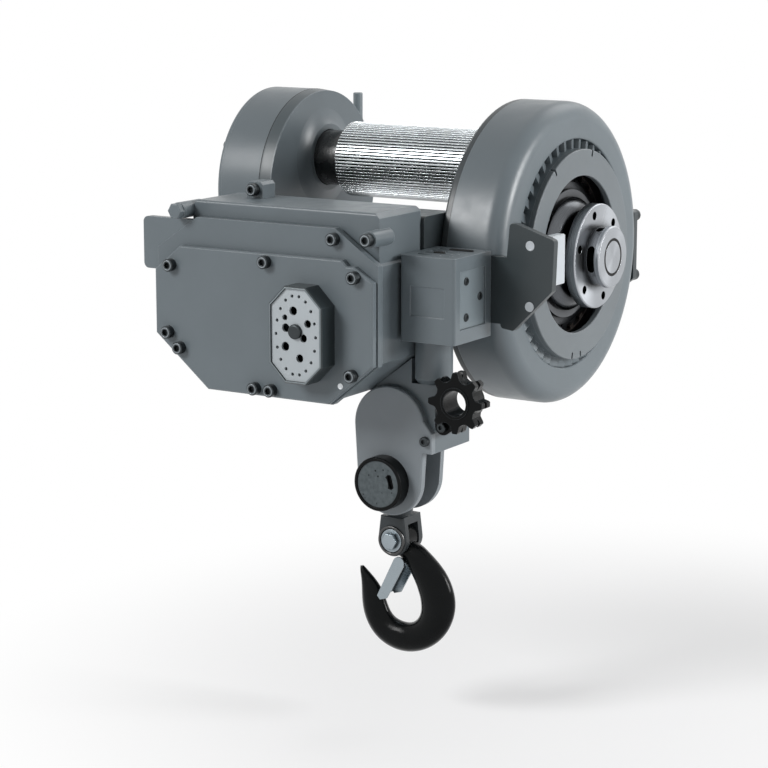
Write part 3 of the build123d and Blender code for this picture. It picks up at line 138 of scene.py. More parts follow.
floor_paint, tree, shader = material_with_shader("floor_white")
shader.inputs["Base Color"].default_value = FLOOR_COLOUR
shader.inputs["Roughness"].default_value = 0.75
shader.inputs["Specular IOR Level"].default_value = 0.2
place = tree.nodes.new("ShaderNodeTexCoord")
distance = tree.nodes.new("ShaderNodeVectorMath")
distance.operation = "LENGTH"
tree.links.new(place.outputs["Object"], distance.inputs[0])
fade = tree.nodes.new("ShaderNodeMapRange")
fade.interpolation_type = "SMOOTHSTEP"
fade.inputs["From Min"].default_value = SHEET_STARTS
fade.inputs["From Max"].default_value = SHEET_IS_WHITE
fade.inputs["To Min"].default_value = SHEET_AT_HOIST
tree.links.new(distance.outputs["Value"], fade.inputs["Value"])
white_sheet = tree.nodes.new("ShaderNodeEmission")
both = tree.nodes.new("ShaderNodeMixShader")
tree.links.new(math_node(tree, "MULTIPLY", fade.outputs["Result"], seen_by_camera(tree)),
               both.inputs["Fac"])
tree.links.new(shader.outputs["BSDF"], both.inputs[1])
tree.links.new(white_sheet.outputs["Emission"], both.inputs[2])
tree.links.new(both.outputs["Shader"], tree.nodes["Material Output"].inputs["Surface"])
floor.data.materials.append(floor_paint)

world = bpy.data.worlds.new("white_studio")
scene.world = world
world.use_nodes = True
tree = world.node_tree
background = tree.nodes["Background"]
background.inputs["Color"].default_value = (1, 1, 1, 1)
strength = tree.nodes.new("ShaderNodeMapRange")
strength.inputs["To Min"].default_value = WORLD_TO_PAINT
strength.inputs["To Max"].default_value = 1.0
tree.links.new(seen_by_camera(tree), strength.inputs["Value"])
tree.links.new(strength.outputs["Result"], background.inputs["Strength"])
print("floor at", round(solid_low.z - FLOOR_DROP, 3), "m")

# %% [markdown]
# Three soft boxes light the hoist. The key stands high at the left of the camera and draws the
# bright bands on the round housings. The side light stands to the right and a little behind, so
# it reaches the motor's face and the box's lid, but not the case, which lies in the motor's
# shadow. The back light separates the top edges from the background.

# %% Lights
LIGHTS_AIM_AT = (-0.15, -0.05, 0.0)
SOFT_BOXES = (
    ("key_light", (-1.6, -2.65, 1.65), 1.2, 76.0),
    ("side_light", (2.4, 0.7, 0.8), 1.0, 66.0),
    ("back_light", (0.3, 2.2, 1.9), 1.6, 13.0),
)
for name, place, size, power in SOFT_BOXES:
    bpy.ops.object.light_add(type="AREA", location=place)
    lamp = bpy.context.object
    lamp.name = name
    lamp.data.size = size
    lamp.data.energy = power
    to_hoist = Vector(LIGHTS_AIM_AT) - Vector(place)
    lamp.rotation_euler = to_hoist.to_track_quat("-Z", "Y").to_euler()
print("lights:", len(SOFT_BOXES))

# %% [markdown]
# Before the paints, a few small helpers for shader nodes. Each finish is described once in
# words: a base colour, how much that colour wanders, how rough it is, and how fine its grain
# is. All patterns read Object coordinates, so they stay fixed to the metal when a part turns.

# %% Helpers for finishes
def srgb(red, green, blue):
    """A colour given as a screen colour from 0 to 255, turned into linear light."""
    def channel(value):
        value /= 255
        return value / 12.92 if value <= 0.04045 else ((value + 0.055) / 1.055) ** 2.4
    return (channel(red), channel(green), channel(blue), 1.0)


def object_coords(tree, stretch=(1, 1, 1)):
    """Object coordinates, stretched when a grain runs in one direction."""
    place = tree.nodes.new("ShaderNodeTexCoord")
    mapping = tree.nodes.new("ShaderNodeMapping")
    mapping.inputs["Scale"].default_value = stretch
    tree.links.new(place.outputs["Object"], mapping.inputs["Vector"])
    return mapping.outputs["Vector"]


def object_xyz(tree):
    """Object coordinates, as the three outputs X, Y and Z."""
    place = tree.nodes.new("ShaderNodeTexCoord")
    parts = tree.nodes.new("ShaderNodeSeparateXYZ")
    tree.links.new(place.outputs["Object"], parts.inputs[0])
    return parts.outputs


def noise(tree, scale, detail=3.0, stretch=(1, 1, 1)):
    """A noise pattern, scale in features per metre."""
    texture = tree.nodes.new("ShaderNodeTexNoise")
    texture.inputs["Scale"].default_value = scale
    texture.inputs["Detail"].default_value = detail
    tree.links.new(object_coords(tree, stretch), texture.inputs["Vector"])
    return texture.outputs["Fac"]


def ranged(tree, value, low, high, start=0.3, end=0.7):
    """The value moved from start..end to low..high."""
    node = tree.nodes.new("ShaderNodeMapRange")
    node.inputs["From Min"].default_value = start
    node.inputs["From Max"].default_value = end
    node.inputs["To Min"].default_value = low
    node.inputs["To Max"].default_value = high
    tree.links.new(value, node.inputs["Value"])
    return node.outputs["Result"]


def mixed(tree, factor, first, second):
    """A colour between two colours or sockets."""
    node = tree.nodes.new("ShaderNodeMix")
    node.data_type = "RGBA"
    tree.links.new(factor, node.inputs["Factor"])
    for socket, colour in (("A", first), ("B", second)):
        target = [s for s in node.inputs if s.name == socket and s.type == "RGBA"][0]
        if isinstance(colour, tuple):
            target.default_value = colour
        else:
            tree.links.new(colour, target)
    return [s for s in node.outputs if s.type == "RGBA"][0]


EDGE_MASK_FULL, EDGE_MASK_STARTS = 0.80, 0.995


def rounded_edges(tree, radius):
    """The surface normal with its sharp edges rounded off, and a mask of where they are."""
    soft = tree.nodes.new("ShaderNodeBevel")
    soft.samples = 4
    soft.inputs["Radius"].default_value = radius
    flat = tree.nodes.new("ShaderNodeNewGeometry")
    dot = tree.nodes.new("ShaderNodeVectorMath")
    dot.operation = "DOT_PRODUCT"
    tree.links.new(soft.outputs["Normal"], dot.inputs[0])
    tree.links.new(flat.outputs["Normal"], dot.inputs[1])
    mask = ranged(tree, dot.outputs["Value"], 1.0, 0.0, EDGE_MASK_FULL, EDGE_MASK_STARTS)
    return soft.outputs["Normal"], mask


def bumped(tree, shader, height, distance, normal=None):
    """Raises the surface by a height pattern, distance in metres."""
    bump = tree.nodes.new("ShaderNodeBump")
    bump.inputs["Distance"].default_value = distance
    tree.links.new(height, bump.inputs["Height"])
    if normal is not None:
        tree.links.new(normal, bump.inputs["Normal"])
    tree.links.new(bump.outputs["Normal"], shader.inputs["Normal"])


def from_axis(tree, axis, centre=(0.0, 0.0)):
    """Distance in metres from a line along an axis, for what is turned or worn in rings."""
    at = object_xyz(tree)
    across = [name for name in "XYZ" if name != axis]
    squares = []
    for name, middle in zip(across, centre):
        away = math_node(tree, "SUBTRACT", at[name], middle)
        squares.append(math_node(tree, "MULTIPLY", away, away))
    return math_node(tree, "SQRT", math_node(tree, "ADD", *squares), 0.0)


def turn_about(tree, centre):
    """Angle in radians about a line along Y, measured from +X towards +Z."""
    at = object_xyz(tree)
    return math_node(tree, "ARCTAN2", math_node(tree, "SUBTRACT", at["Z"], centre[1]),
                     math_node(tree, "SUBTRACT", at["X"], centre[0]))


def darkened(colour, share):
    """A colour at a share of its brightness."""
    return tuple(channel * share for channel in colour[:3]) + (1.0,)


def retinted(material, factor, at_zero=None, at_one=None):
    """Mixes a colour into a finish. The end that is left out keeps the finish's own colour."""
    tree = material.node_tree
    base = tree.nodes["Principled BSDF"].inputs["Base Color"]
    own = base.links[0].from_socket
    tree.links.new(mixed(tree, factor, at_zero or own, at_one or own), base)


def finish_nodes(material, names):
    """Gives CAD nodes a finish, by replacing what their material slots hold."""
    for name in names.split():
        part = nodes[name]
        part.data.materials.clear()
        part.data.materials.append(material)


# %% [markdown]
# The housings, the case and the block are sprayed with a satin blue-grey paint. Sprayed paint
# is never quite even: its colour wanders a little over a hand's width, its gloss changes with
# thickness, and its skin has a fine orange peel. Where an edge is sharp the coat is thin and
# a touch paler, and the paler edge is also a painted highlight, the thin line of light that a
# sharp edge catches, which is what makes the edge readable.

# %% Painted metal
ORANGE_PEEL = 2600.0


def sprayed_paint(name, colour, edge_wear_and_highlight, gloss=(0.30, 0.38), edge=0.9 * MM):
    """Satin paint. Its gloss lies between two roughnesses, and its edges are paler, as worn paint
    and as a painted highlight.
    """
    made, tree, shader = material_with_shader(name)
    cloud = noise(tree, 14.0, 4.0)
    paint = mixed(tree, ranged(tree, cloud, 0.0, 1.0), darkened(colour, 0.90), colour)
    normal, edges = rounded_edges(tree, edge)
    # The paler edge colour is worn paint and a painted highlight together.
    paint = mixed(tree, edges, paint, edge_wear_and_highlight)
    tree.links.new(paint, shader.inputs["Base Color"])
    tree.links.new(ranged(tree, noise(tree, 60.0, 3.0), *gloss), shader.inputs["Roughness"])
    shader.inputs["Specular IOR Level"].default_value = 0.45
    bumped(tree, shader, noise(tree, ORANGE_PEEL, 1.0), 0.02 * MM, normal)
    return made


# Each paint's second colour is its paler edge: worn paint and a painted highlight.
body_paint = sprayed_paint("body_paint", srgb(98, 107, 112), srgb(132, 140, 145))
cover_paint = sprayed_paint("cover_paint", srgb(100, 109, 114), srgb(136, 144, 149))
face_paint = sprayed_paint("face_paint", srgb(103, 110, 114), srgb(140, 146, 150))
ear_paint = sprayed_paint("ear_paint", srgb(44, 52, 55), srgb(84, 92, 95))
dark_paint = sprayed_paint("dark_paint", srgb(46, 53, 56), srgb(72, 80, 84))
# The block's paint is a lighter copy of the body paint: painted light that offsets the shadow the
# case casts on the cheeks.
block_paint_lit = sprayed_paint("block_paint_lit", srgb(124, 131, 136), srgb(150, 157, 161))
lid_paint = sprayed_paint("lid_paint", srgb(114, 124, 129), srgb(150, 158, 162))
vent_paint = sprayed_paint("vent_paint", srgb(172, 179, 183), srgb(205, 210, 212), edge=0.4 * MM)

finish_nodes(body_paint, "motor_housing end_housing end_cover case_body hanger "
                         "terminal_box vent_ring corner_plug")
# The cheeks get the lighter copy, as painted light.
finish_nodes(block_paint_lit, "cheek_front cheek_rear")
finish_nodes(cover_paint, "case_cover top_lug side_plate")
finish_nodes(lid_paint, "terminal_box_lid guide_post")
finish_nodes(face_paint, "face_ring")
finish_nodes(ear_paint, "ear_front ear_rear")
finish_nodes(dark_paint, "motor_back_plate bed_frame bearing_plate brake_magnet")
finish_nodes(vent_paint, "vent_plate")
print("painted nodes done")

# %% [markdown]
# The end bell has the body's paint on its face, and a darker band round its edge next to the
# seam, where it was masked for machining. The band ends where the face begins.

# %% End bell
BAND_ENDS = -346.5 * MM


def recoloured(material, axis, start, end, colour):
    """Gives a finish another colour beyond a plane across an axis, from start to end."""
    tree = material.node_tree
    beyond = ranged(tree, object_xyz(tree)[axis], 0.0, 1.0, start, end)
    retinted(material, beyond, at_one=colour)


bell_paint = sprayed_paint("bell_paint", srgb(98, 107, 112), srgb(132, 140, 145))
recoloured(bell_paint, "X", BAND_ENDS, BAND_ENDS - 0.3 * MM, srgb(66, 75, 79))
finish_nodes(bell_paint, "end_bell")
print("end bell painted, band beyond", round(BAND_ENDS / MM, 1), "mm")

# %% [markdown]
# The frame round the vent plate is painted charcoal on its sides, as painted shade, and its front
# lip keeps the colour of the cover. The lip is the last half millimetre of the frame, so a height
# along Y tells the two apart.

# %% Vent frame
LIP_STARTS = -311.4 * MM

# The charcoal on the frame's sides is painted shade; the lip keeps the cover's colour.
vent_frame_shade = sprayed_paint("vent_frame_shade", srgb(38, 46, 49), srgb(70, 78, 81))
recoloured(vent_frame_shade, "Y", LIP_STARTS, LIP_STARTS - 0.2 * MM, srgb(118, 127, 131))
finish_nodes(vent_frame_shade, "vent_frame")
print("vent frame painted")

# %% [markdown]
# The hook, the star wheel and the collar carry a thick black gloss enamel over a forging. The
# forging underneath is gently lumpy, so the highlights bend a little. Enamel reflects little
# when it is seen straight on and a lot at a grazing angle, so the reflection follows Layer
# Weight. The clevis is only oiled, so it is greyer and duller.

# %% Black enamel
# The pale line on the enamel's sharp edges is a painted highlight.
ENAMEL_EDGE_HIGHLIGHT = srgb(84, 90, 93)


def black_enamel(name, colour, roughness=0.20, straight=0.10, grazing=0.75):
    """Gloss black, whose reflection grows from a straight view to a grazing one."""
    made, tree, shader = material_with_shader(name)
    slant = tree.nodes.new("ShaderNodeLayerWeight")
    slant.inputs["Blend"].default_value = 0.5
    tree.links.new(ranged(tree, slant.outputs["Facing"], straight, grazing, 0.45, 0.95),
                   shader.inputs["Specular IOR Level"])
    normal, edges = rounded_edges(tree, 0.6 * MM)
    cloud = ranged(tree, noise(tree, 30.0, 3.0), 0.0, 1.0)
    cloud = mixed(tree, cloud, darkened(colour, 0.6), colour)
    # Sharp edges get the painted highlight colour.
    tree.links.new(mixed(tree, edges, cloud, ENAMEL_EDGE_HIGHLIGHT), shader.inputs["Base Color"])
    gloss = ranged(tree, noise(tree, 90.0, 3.0), roughness - 0.05, roughness + 0.08)
    tree.links.new(gloss, shader.inputs["Roughness"])
    bumped(tree, shader, noise(tree, 160.0, 2.0), 0.2 * MM, normal)
    return made


enamel = black_enamel("black_enamel", srgb(13, 15, 16))
collar_black = black_enamel("collar_black", srgb(17, 19, 20), 0.24, 0.9)
oiled = black_enamel("oiled_forging", srgb(52, 57, 60), 0.34, 0.3)
finish_nodes(enamel, "hook star_wheel star_carrier")
finish_nodes(collar_black, "drum_collar")
finish_nodes(oiled, "hook_clevis")
print("black nodes done")

# %% [markdown]
# Bare steel shows how it was cut. A turned part has fine rings round its axis, and a ground
# shaft is brighter and smoother. The rings come from a noise that is squeezed along the axis
# of turning and read as distance from that axis.

# %% Bare steel
def turned_steel(name, colour, roughness, axis="X", rings=1800.0, depth=0.006 * MM):
    """Bare steel with fine cutting marks that run round an axis."""
    made, tree, shader = material_with_shader(name)
    shader.inputs["Metallic"].default_value = 1.0
    along = {"X": (rings, 3, 3), "Y": (3, rings, 3), "Z": (3, 3, rings)}[axis]
    lines = noise(tree, 1.0, 2.0, along)
    smudge = noise(tree, 22.0, 4.0)
    tree.links.new(mixed(tree, ranged(tree, smudge, 0.0, 1.0), darkened(colour, 0.82), colour),
                   shader.inputs["Base Color"])
    tree.links.new(ranged(tree, lines, roughness - 0.06, roughness + 0.10),
                   shader.inputs["Roughness"])
    normal, _ = rounded_edges(tree, 0.5 * MM)
    bumped(tree, shader, lines, depth, normal)
    return made


def turned_sheen(material, axis, strength):
    """The rings of a turned face spread each highlight outwards from the axis, as two fans."""
    tree = material.node_tree
    shader = tree.nodes["Principled BSDF"]
    shader.inputs["Anisotropic"].default_value = strength
    rings = tree.nodes.new("ShaderNodeTangent")
    rings.direction_type = "RADIAL"
    rings.axis = axis
    tree.links.new(rings.outputs["Tangent"], shader.inputs["Tangent"])


def shade_in_corners(material, depth, shade_colour):
    """Paints shade into a finish's inner corners: darker where Ambient Occlusion finds other
    surfaces near.
    """
    tree = material.node_tree
    open_sky = tree.nodes.new("ShaderNodeAmbientOcclusion")
    open_sky.samples = 8
    open_sky.inputs["Distance"].default_value = depth
    open_share = ranged(tree, open_sky.outputs["AO"], 0.0, 1.0, 0.45, 0.95)
    retinted(material, open_share, at_zero=shade_colour)


# The hub, the bell and the zinc parts get painted shade in their inner corners; the bell's
# reaches 30 mm and is nearly black.
hub_steel = turned_steel("hub_steel", srgb(182, 186, 191), 0.28)
turned_sheen(hub_steel, "X", 0.75)
shade_in_corners(hub_steel, 14 * MM, srgb(34, 37, 39))
bell_steel = turned_steel("bell_steel", srgb(112, 115, 119), 0.20)
shade_in_corners(bell_steel, 30 * MM, srgb(12, 14, 15))
zinc = turned_steel("zinc", srgb(160, 170, 176), 0.26, "Z", 300.0)
shade_in_corners(zinc, 4 * MM, srgb(30, 34, 36))
ground_steel = turned_steel("ground_steel", srgb(205, 209, 212), 0.35, "Y", 900.0)
black_screw = turned_steel("black_screw", srgb(66, 70, 72), 0.38, "Y", 900.0)

finish_nodes(hub_steel, "output_hub main_shaft drum_shaft ball_bearings sheave")
finish_nodes(bell_steel, "rotor_bell brake_disc drum_gear motor_pinion crosshead sheave_pin")
finish_nodes(zinc, "latch latch_springs clevis_bolt clevis_nut swivel_nut")
finish_nodes(black_screw, "case_screws small_screws ear_screws vent_boss")
print("steel nodes done")

# %% [markdown]
# The drum is cut with fine flutes along its length. The finish asks how far a point is from the
# drum's axis: the lands lie on the full radius and keep the bright steel, and what lies deeper is
# painted nearly black, as painted shade and dark reflection in the flutes.

# %% Fluted drum
DRUM_AXIS = (0.0, 86.0 * MM)
LAND_R = 40.4 * MM
FLOOR_R = 39.6 * MM

drum_steel = turned_steel("drum_steel", srgb(188, 193, 195), 0.24, "X", 3.0, 0.001 * MM)
tree = drum_steel.node_tree
# The flutes are painted nearly black: painted shade and painted dark reflection.
unshaded = ranged(tree, from_axis(tree, "X", DRUM_AXIS), 0.0, 1.0, FLOOR_R, LAND_R)
retinted(drum_steel, unshaded, at_zero=srgb(26, 30, 31))
finish_nodes(drum_steel, "drum")
print("drum lands polished from radius", round(LAND_R / MM, 1), "mm")

# %% [markdown]
# The shaft's nose is closed by a ring of two zones: a satin face like the hub's, and outside it
# a black seal. The same distance from the axis tells them apart.

# %% Nose seal
SEAL_INNER_R = 16.4 * MM

seal_steel = turned_steel("seal_steel", srgb(186, 190, 195), 0.34)
tree = seal_steel.node_tree
shader = tree.nodes["Principled BSDF"]
shader.inputs["Specular IOR Level"].default_value = 0.12
rubber = ranged(tree, from_axis(tree, "X"), 0.0, 1.0, SEAL_INNER_R, SEAL_INNER_R + 0.1 * MM)
retinted(seal_steel, rubber, at_one=srgb(14, 15, 16))
tree.links.new(math_node(tree, "SUBTRACT", 1.0, rubber), shader.inputs["Metallic"])
finish_nodes(seal_steel, "nose_ring")
print("nose seal done")

# %% [markdown]
# The trunnion caps are iron castings with a rough, pitted face inside a smooth black rim. Small
# dark pores are made from a Voronoi pattern: only the few cells whose centre is very near a
# point turn dark, and a second noise keeps them from lying evenly. The kidney-shaped key slot is
# not cut; it is painted near black to its rounded edge, which is a range of radius and of turn.

# %% Trunnion caps
CAP_AXIS = (-130.0 * MM, -216.0 * MM)
CAP_FACE_R = 23.9 * MM
KIDNEY_R, KIDNEY_HALF = 14.6 * MM, 2.5 * MM
KIDNEY_TURN, KIDNEY_SPREAD = 0.26, 0.52
FRONT_CAP_Y = -215.0 * MM


def cast_face(tree):
    """Speckled cast iron with a few dark pores."""
    grain = ranged(tree, noise(tree, 240.0, 4.0), 0.0, 1.0)
    cells = tree.nodes.new("ShaderNodeTexVoronoi")
    cells.inputs["Scale"].default_value = 150.0
    tree.links.new(object_coords(tree), cells.inputs["Vector"])
    pores = ranged(tree, cells.outputs["Distance"], 1.0, 0.0, 0.10, 0.20)
    some = ranged(tree, noise(tree, 70.0, 2.0), 0.0, 1.0, 0.50, 0.54)
    iron = mixed(tree, grain, srgb(74, 81, 84), srgb(90, 97, 100))
    return mixed(tree, math_node(tree, "MULTIPLY", pores, some), iron, srgb(18, 20, 21))


def kidney_slot(tree):
    """1 inside the kidney slot of the front cap, and 0 elsewhere."""
    radius = math_node(tree, "SUBTRACT", from_axis(tree, "Y", CAP_AXIS), KIDNEY_R)
    turn = math_node(tree, "SUBTRACT", turn_about(tree, CAP_AXIS), KIDNEY_TURN)
    in_band = ranged(tree, math_node(tree, "ABSOLUTE", radius, 0.0), 1.0, 0.0,
                     KIDNEY_HALF - 0.2 * MM, KIDNEY_HALF)
    in_turn = ranged(tree, math_node(tree, "ABSOLUTE", turn, 0.0), 1.0, 0.0,
                     KIDNEY_SPREAD - 0.03, KIDNEY_SPREAD)
    front = ranged(tree, object_xyz(tree)["Y"], 1.0, 0.0, FRONT_CAP_Y, FRONT_CAP_Y + 10 * MM)
    return math_node(tree, "MULTIPLY", math_node(tree, "MULTIPLY", in_band, in_turn), front)


cap_iron, tree, shader = material_with_shader("cap_iron")
shader.inputs["Specular IOR Level"].default_value = 0.12
rim = ranged(tree, from_axis(tree, "Y", CAP_AXIS), 0.0, 1.0, CAP_FACE_R, CAP_FACE_R + 0.2 * MM)
# The kidney slot is painted near black on the flat face.
face = mixed(tree, kidney_slot(tree), cast_face(tree), srgb(10, 12, 13))
normal, edges = rounded_edges(tree, 0.6 * MM)
# The rim's sharp edges are painted lighter, as a painted highlight.
ring = mixed(tree, edges, srgb(7, 9, 10), srgb(24, 28, 30))
tree.links.new(mixed(tree, rim, face, ring), shader.inputs["Base Color"])
tree.links.new(ranged(tree, rim, 0.52, 0.30, 0.0, 1.0), shader.inputs["Roughness"])
bumped(tree, shader, noise(tree, 700.0, 3.0), 0.05 * MM, normal)
finish_nodes(cap_iron, "trunnion_caps")
print("trunnion caps done")

# %% [markdown]
# What is left are mouldings and the pieces inside the motor and the case. They are seen through
# the round opening or in other views, and get the finish that they really have: black varnish
# on the windings, bare laminations on the core, and plain dark housings on the switch gear.

# %% Mouldings and inner pieces
block_white = sprayed_paint("block_white", srgb(186, 192, 197), srgb(222, 226, 228), (0.35, 0.45))
varnish = sprayed_paint("winding_varnish", srgb(20, 19, 18), srgb(58, 36, 24), (0.3, 0.4))
core = turned_steel("core", srgb(40, 42, 44), 0.42, "X", 2400.0)
gasket = sprayed_paint("gasket", srgb(16, 17, 18), srgb(26, 27, 28), (0.7, 0.85))

finish_nodes(block_white, "guide_block")
finish_nodes(varnish, "stator_windings")
finish_nodes(core, "stator_core rotor_magnets transformer")
finish_nodes(gasket, "cover_gasket contactors")
print("materials in all:", len(bpy.data.materials))

# %% [markdown]
# Now the small pieces. Round ones are grown from a circle, as a turner thinks of them: each
# corner of the section is one more extruded loop, moved along the axis and scaled to its
# radius, and the last loop meets the first. Scaling is done about the axis, which is given to
# each resize because a script has no view to take the pivot from.

# %% Growing a ring
def grown_ring(section, sides=48):
    """A ring about Z, grown from one circle through the (radius, height) corners of a section."""
    radius, height = section[0]
    bpy.ops.object.select_all(action="DESELECT")
    bpy.ops.mesh.primitive_circle_add(vertices=sides, radius=radius, fill_type="NOTHING",
                                      location=(0, 0, height))
    piece = bpy.context.object
    bpy.ops.object.transform_apply(location=True, rotation=True, scale=True)
    bpy.ops.object.mode_set(mode="EDIT")
    bpy.ops.mesh.select_all(action="SELECT")
    for new_radius, new_height in section[1:] + section[:1]:
        bpy.ops.mesh.extrude_edges_move(
            TRANSFORM_OT_translate={"value": (0, 0, new_height - height)})
        growth = new_radius / radius
        bpy.ops.transform.resize(value=(growth, growth, 1), center_override=(0, 0, new_height))
        radius, height = new_radius, new_height
    bpy.ops.mesh.select_all(action="SELECT")
    bpy.ops.mesh.remove_doubles(threshold=0.001 * MM)
    bpy.ops.mesh.normals_make_consistent(inside=False)
    bpy.ops.object.mode_set(mode="OBJECT")
    return piece


def select_faces_up(piece):
    """In edit mode, selects the faces that look along +Z."""
    bpy.ops.mesh.select_mode(type="FACE")
    bpy.ops.mesh.select_all(action="DESELECT")
    shape = bmesh.from_edit_mesh(piece.data)
    for face in shape.faces:
        face.select_set(face.normal.z > 0.9)
    bmesh.update_edit_mesh(piece.data)


def turned_to(piece, place, towards):
    """Moves a piece made about Z to its place, with its height pointing along a direction."""
    piece.rotation_euler = Vector(towards).to_track_quat("Z", "Y").to_euler()
    piece.location = place


def place_applied(piece):
    """Puts a piece's place and turn into its mesh, and leaves the piece selected."""
    bpy.ops.object.select_all(action="DESELECT")
    piece.select_set(True)
    bpy.context.view_layer.objects.active = piece
    bpy.ops.object.transform_apply(location=True, rotation=True, scale=True)
    return piece


def settle(piece, name, body, material, smooth=35.0):
    """Applies a piece's place, and gives it a name, a finish and a body to ride on."""
    place_applied(piece)
    bpy.ops.object.shade_smooth_by_angle(angle=radians(smooth))
    piece.name = name
    piece.data.name = name
    piece.data.materials.clear()
    piece.data.materials.append(material)
    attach(piece, body)


def joined(pieces):
    """Several meshes made one, as small repeated parts that always move together."""
    bpy.ops.object.select_all(action="DESELECT")
    for piece in pieces:
        piece.select_set(True)
    bpy.context.view_layer.objects.active = pieces[0]
    bpy.ops.object.join()
    return bpy.context.object


# %% [markdown]
# The socket screws on the case have a bright ring round the socket, where the key has rubbed the
# blacking away. The ring is modelled once, a fifth of a millimetre proud with a sloping outside,
# and each copy has its own mesh. All of them are joined, because they sit on one body.

# %% Worn rings on the screw heads
RIM_IN, RIM_OUT = 4.1 * MM, 5.5 * MM
RIM_RISE, RIM_SUNK = 0.22 * MM, 0.3 * MM
COVER_HEAD_Y = -296.0 * MM
SCREW_FACES = (
    (-343.0, 0.0, COVER_HEAD_Y), (-225.0, 12.0, COVER_HEAD_Y), (-119.5, 4.5, COVER_HEAD_Y),
    (-347.0, -70.0, COVER_HEAD_Y), (-332.5, -85.0, COVER_HEAD_Y), (-239.0, -118.0, COVER_HEAD_Y),
    (-219.0, -118.0, COVER_HEAD_Y), (-122.5, -93.5, COVER_HEAD_Y), (-148.5, 39.5, -288.0 * MM),
    (-106.0, 42.0, -292.0 * MM), (-282.0, 75.0, -233.0 * MM),
)

worn_steel = turned_steel("worn_steel", srgb(128, 134, 138), 0.34, "Y", 1200.0)
rim_section = [(RIM_IN, -RIM_SUNK), (RIM_OUT, -RIM_SUNK),
               (RIM_OUT - RIM_RISE, RIM_RISE), (RIM_IN, RIM_RISE)]
rims = []
for x, z, y in SCREW_FACES:
    rim_piece = grown_ring(rim_section, 32)
    turned_to(rim_piece, (x * MM, y, z * MM), (0, -1, 0))
    rims.append(place_applied(rim_piece))
screw_rims = joined(rims)
settle(screw_rims, "screw_rims", "frame", worn_steel)
print("worn rings:", len(SCREW_FACES), "with", len(screw_rims.data.polygons), "faces")

# %% [markdown]
# The safety latch is pushed shut by two small coil springs on its pin. A coil is one round
# section of wire that runs round the axis and climbs, which is what the Screw modifier does.
# After it is applied the two open ends of the wire are filled.

# %% Latch springs
PIVOT = (-119.0 * MM, -192.5 * MM, -302.6 * MM)
WIRE_R = 0.45 * MM
COIL_R = 4.4 * MM
COIL_TURNS = 3
COIL_PITCH = 0.98 * MM
SPRING_STARTS = 10.2 * MM


def coil_spring():
    """One spring about Z that starts at the origin's height."""
    bpy.ops.object.select_all(action="DESELECT")
    bpy.ops.mesh.primitive_circle_add(vertices=8, radius=WIRE_R, fill_type="NOTHING",
                                      location=(COIL_R, 0, 0), rotation=(radians(90), 0, 0))
    spring = bpy.context.object
    bpy.ops.object.transform_apply(location=True, rotation=True, scale=True)
    climb = spring.modifiers.new("climb", "SCREW")
    climb.axis = "Z"
    climb.angle = 2 * pi
    climb.screw_offset = COIL_PITCH
    climb.iterations = COIL_TURNS
    climb.steps = climb.render_steps = 20
    bpy.ops.object.modifier_apply(modifier=climb.name)
    bpy.ops.object.mode_set(mode="EDIT")
    bpy.ops.mesh.select_all(action="SELECT")
    bpy.ops.mesh.remove_doubles(threshold=0.001 * MM)
    bpy.ops.mesh.fill_holes(sides=8)
    bpy.ops.mesh.normals_make_consistent(inside=False)
    bpy.ops.object.mode_set(mode="OBJECT")
    return spring


springs = []
for side in (-1, 1):
    spring = coil_spring()
    turned_to(spring, (PIVOT[0], PIVOT[1] + side * SPRING_STARTS, PIVOT[2]), (0, side, 0))
    springs.append(place_applied(spring))
latch_coils = joined(springs)
settle(latch_coils, "latch_coils", "hook", zinc, 60.0)
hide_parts("latch_springs")
print("spring faces:", len(latch_coils.data.polygons))

# %% [markdown]
# A rolled black ring lies round the clevis bolt's washer and keeps it from turning. It is grown
# from a circle like the worn rings, with a rounded shoulder outside.

# %% Bolt ring
BOLT_FACE = (-126.0 * MM, -209.0 * MM, -279.0 * MM)
RING_CORNERS = ((12.6, -0.2), (15.6, -0.2), (15.6, 1.3), (15.3, 1.9),
                (14.7, 2.3), (13.4, 2.3), (12.8, 1.9), (12.6, 1.3))

bolt_ring = grown_ring([(radius * MM, height * MM) for radius, height in RING_CORNERS], 64)
turned_to(bolt_ring, BOLT_FACE, (0, -1, 0))
settle(bolt_ring, "bolt_ring", "clevis", collar_black, 50.0)
print("bolt ring faces:", len(bolt_ring.data.polygons))

# %% [markdown]
# The two mounting holes in the front ear are closed by pale transport plugs, and a ground dowel
# stands in the case cover's lower corner. All three are one shape in two sizes: a pin whose end
# is inset and pushed in a little, and then rounded at its edges by a Bevel modifier.

# %% Ear plugs and dowel
EAR_FACE_Y = -168.1 * MM
EAR_HOLES = ((9.0, 31.0), (9.0, -30.0))
COVER_FACE_Y = -288.0 * MM
DOWEL_AT = (-137.0, -105.5)


def dished_pin(radius, depth, proud, dish, place):
    """A round pin that looks along -Y from its place, with a dished end."""
    bpy.ops.object.select_all(action="DESELECT")
    bpy.ops.mesh.primitive_cylinder_add(vertices=40, radius=radius, depth=depth,
                                        location=(0, 0, proud - depth / 2))
    pin = bpy.context.object
    bpy.ops.object.transform_apply(location=True, rotation=True, scale=True)
    bpy.ops.object.mode_set(mode="EDIT")
    select_faces_up(pin)
    bpy.ops.mesh.inset(thickness=radius * 0.18, depth=0)
    bpy.ops.mesh.inset(thickness=radius * 0.10, depth=-dish)
    bpy.ops.object.mode_set(mode="OBJECT")
    soft = pin.modifiers.new("soft_edges", "BEVEL")
    soft.width = radius * 0.05
    soft.segments = 2
    bpy.ops.object.modifier_apply(modifier=soft.name)
    turned_to(pin, place, (0, -1, 0))
    return pin


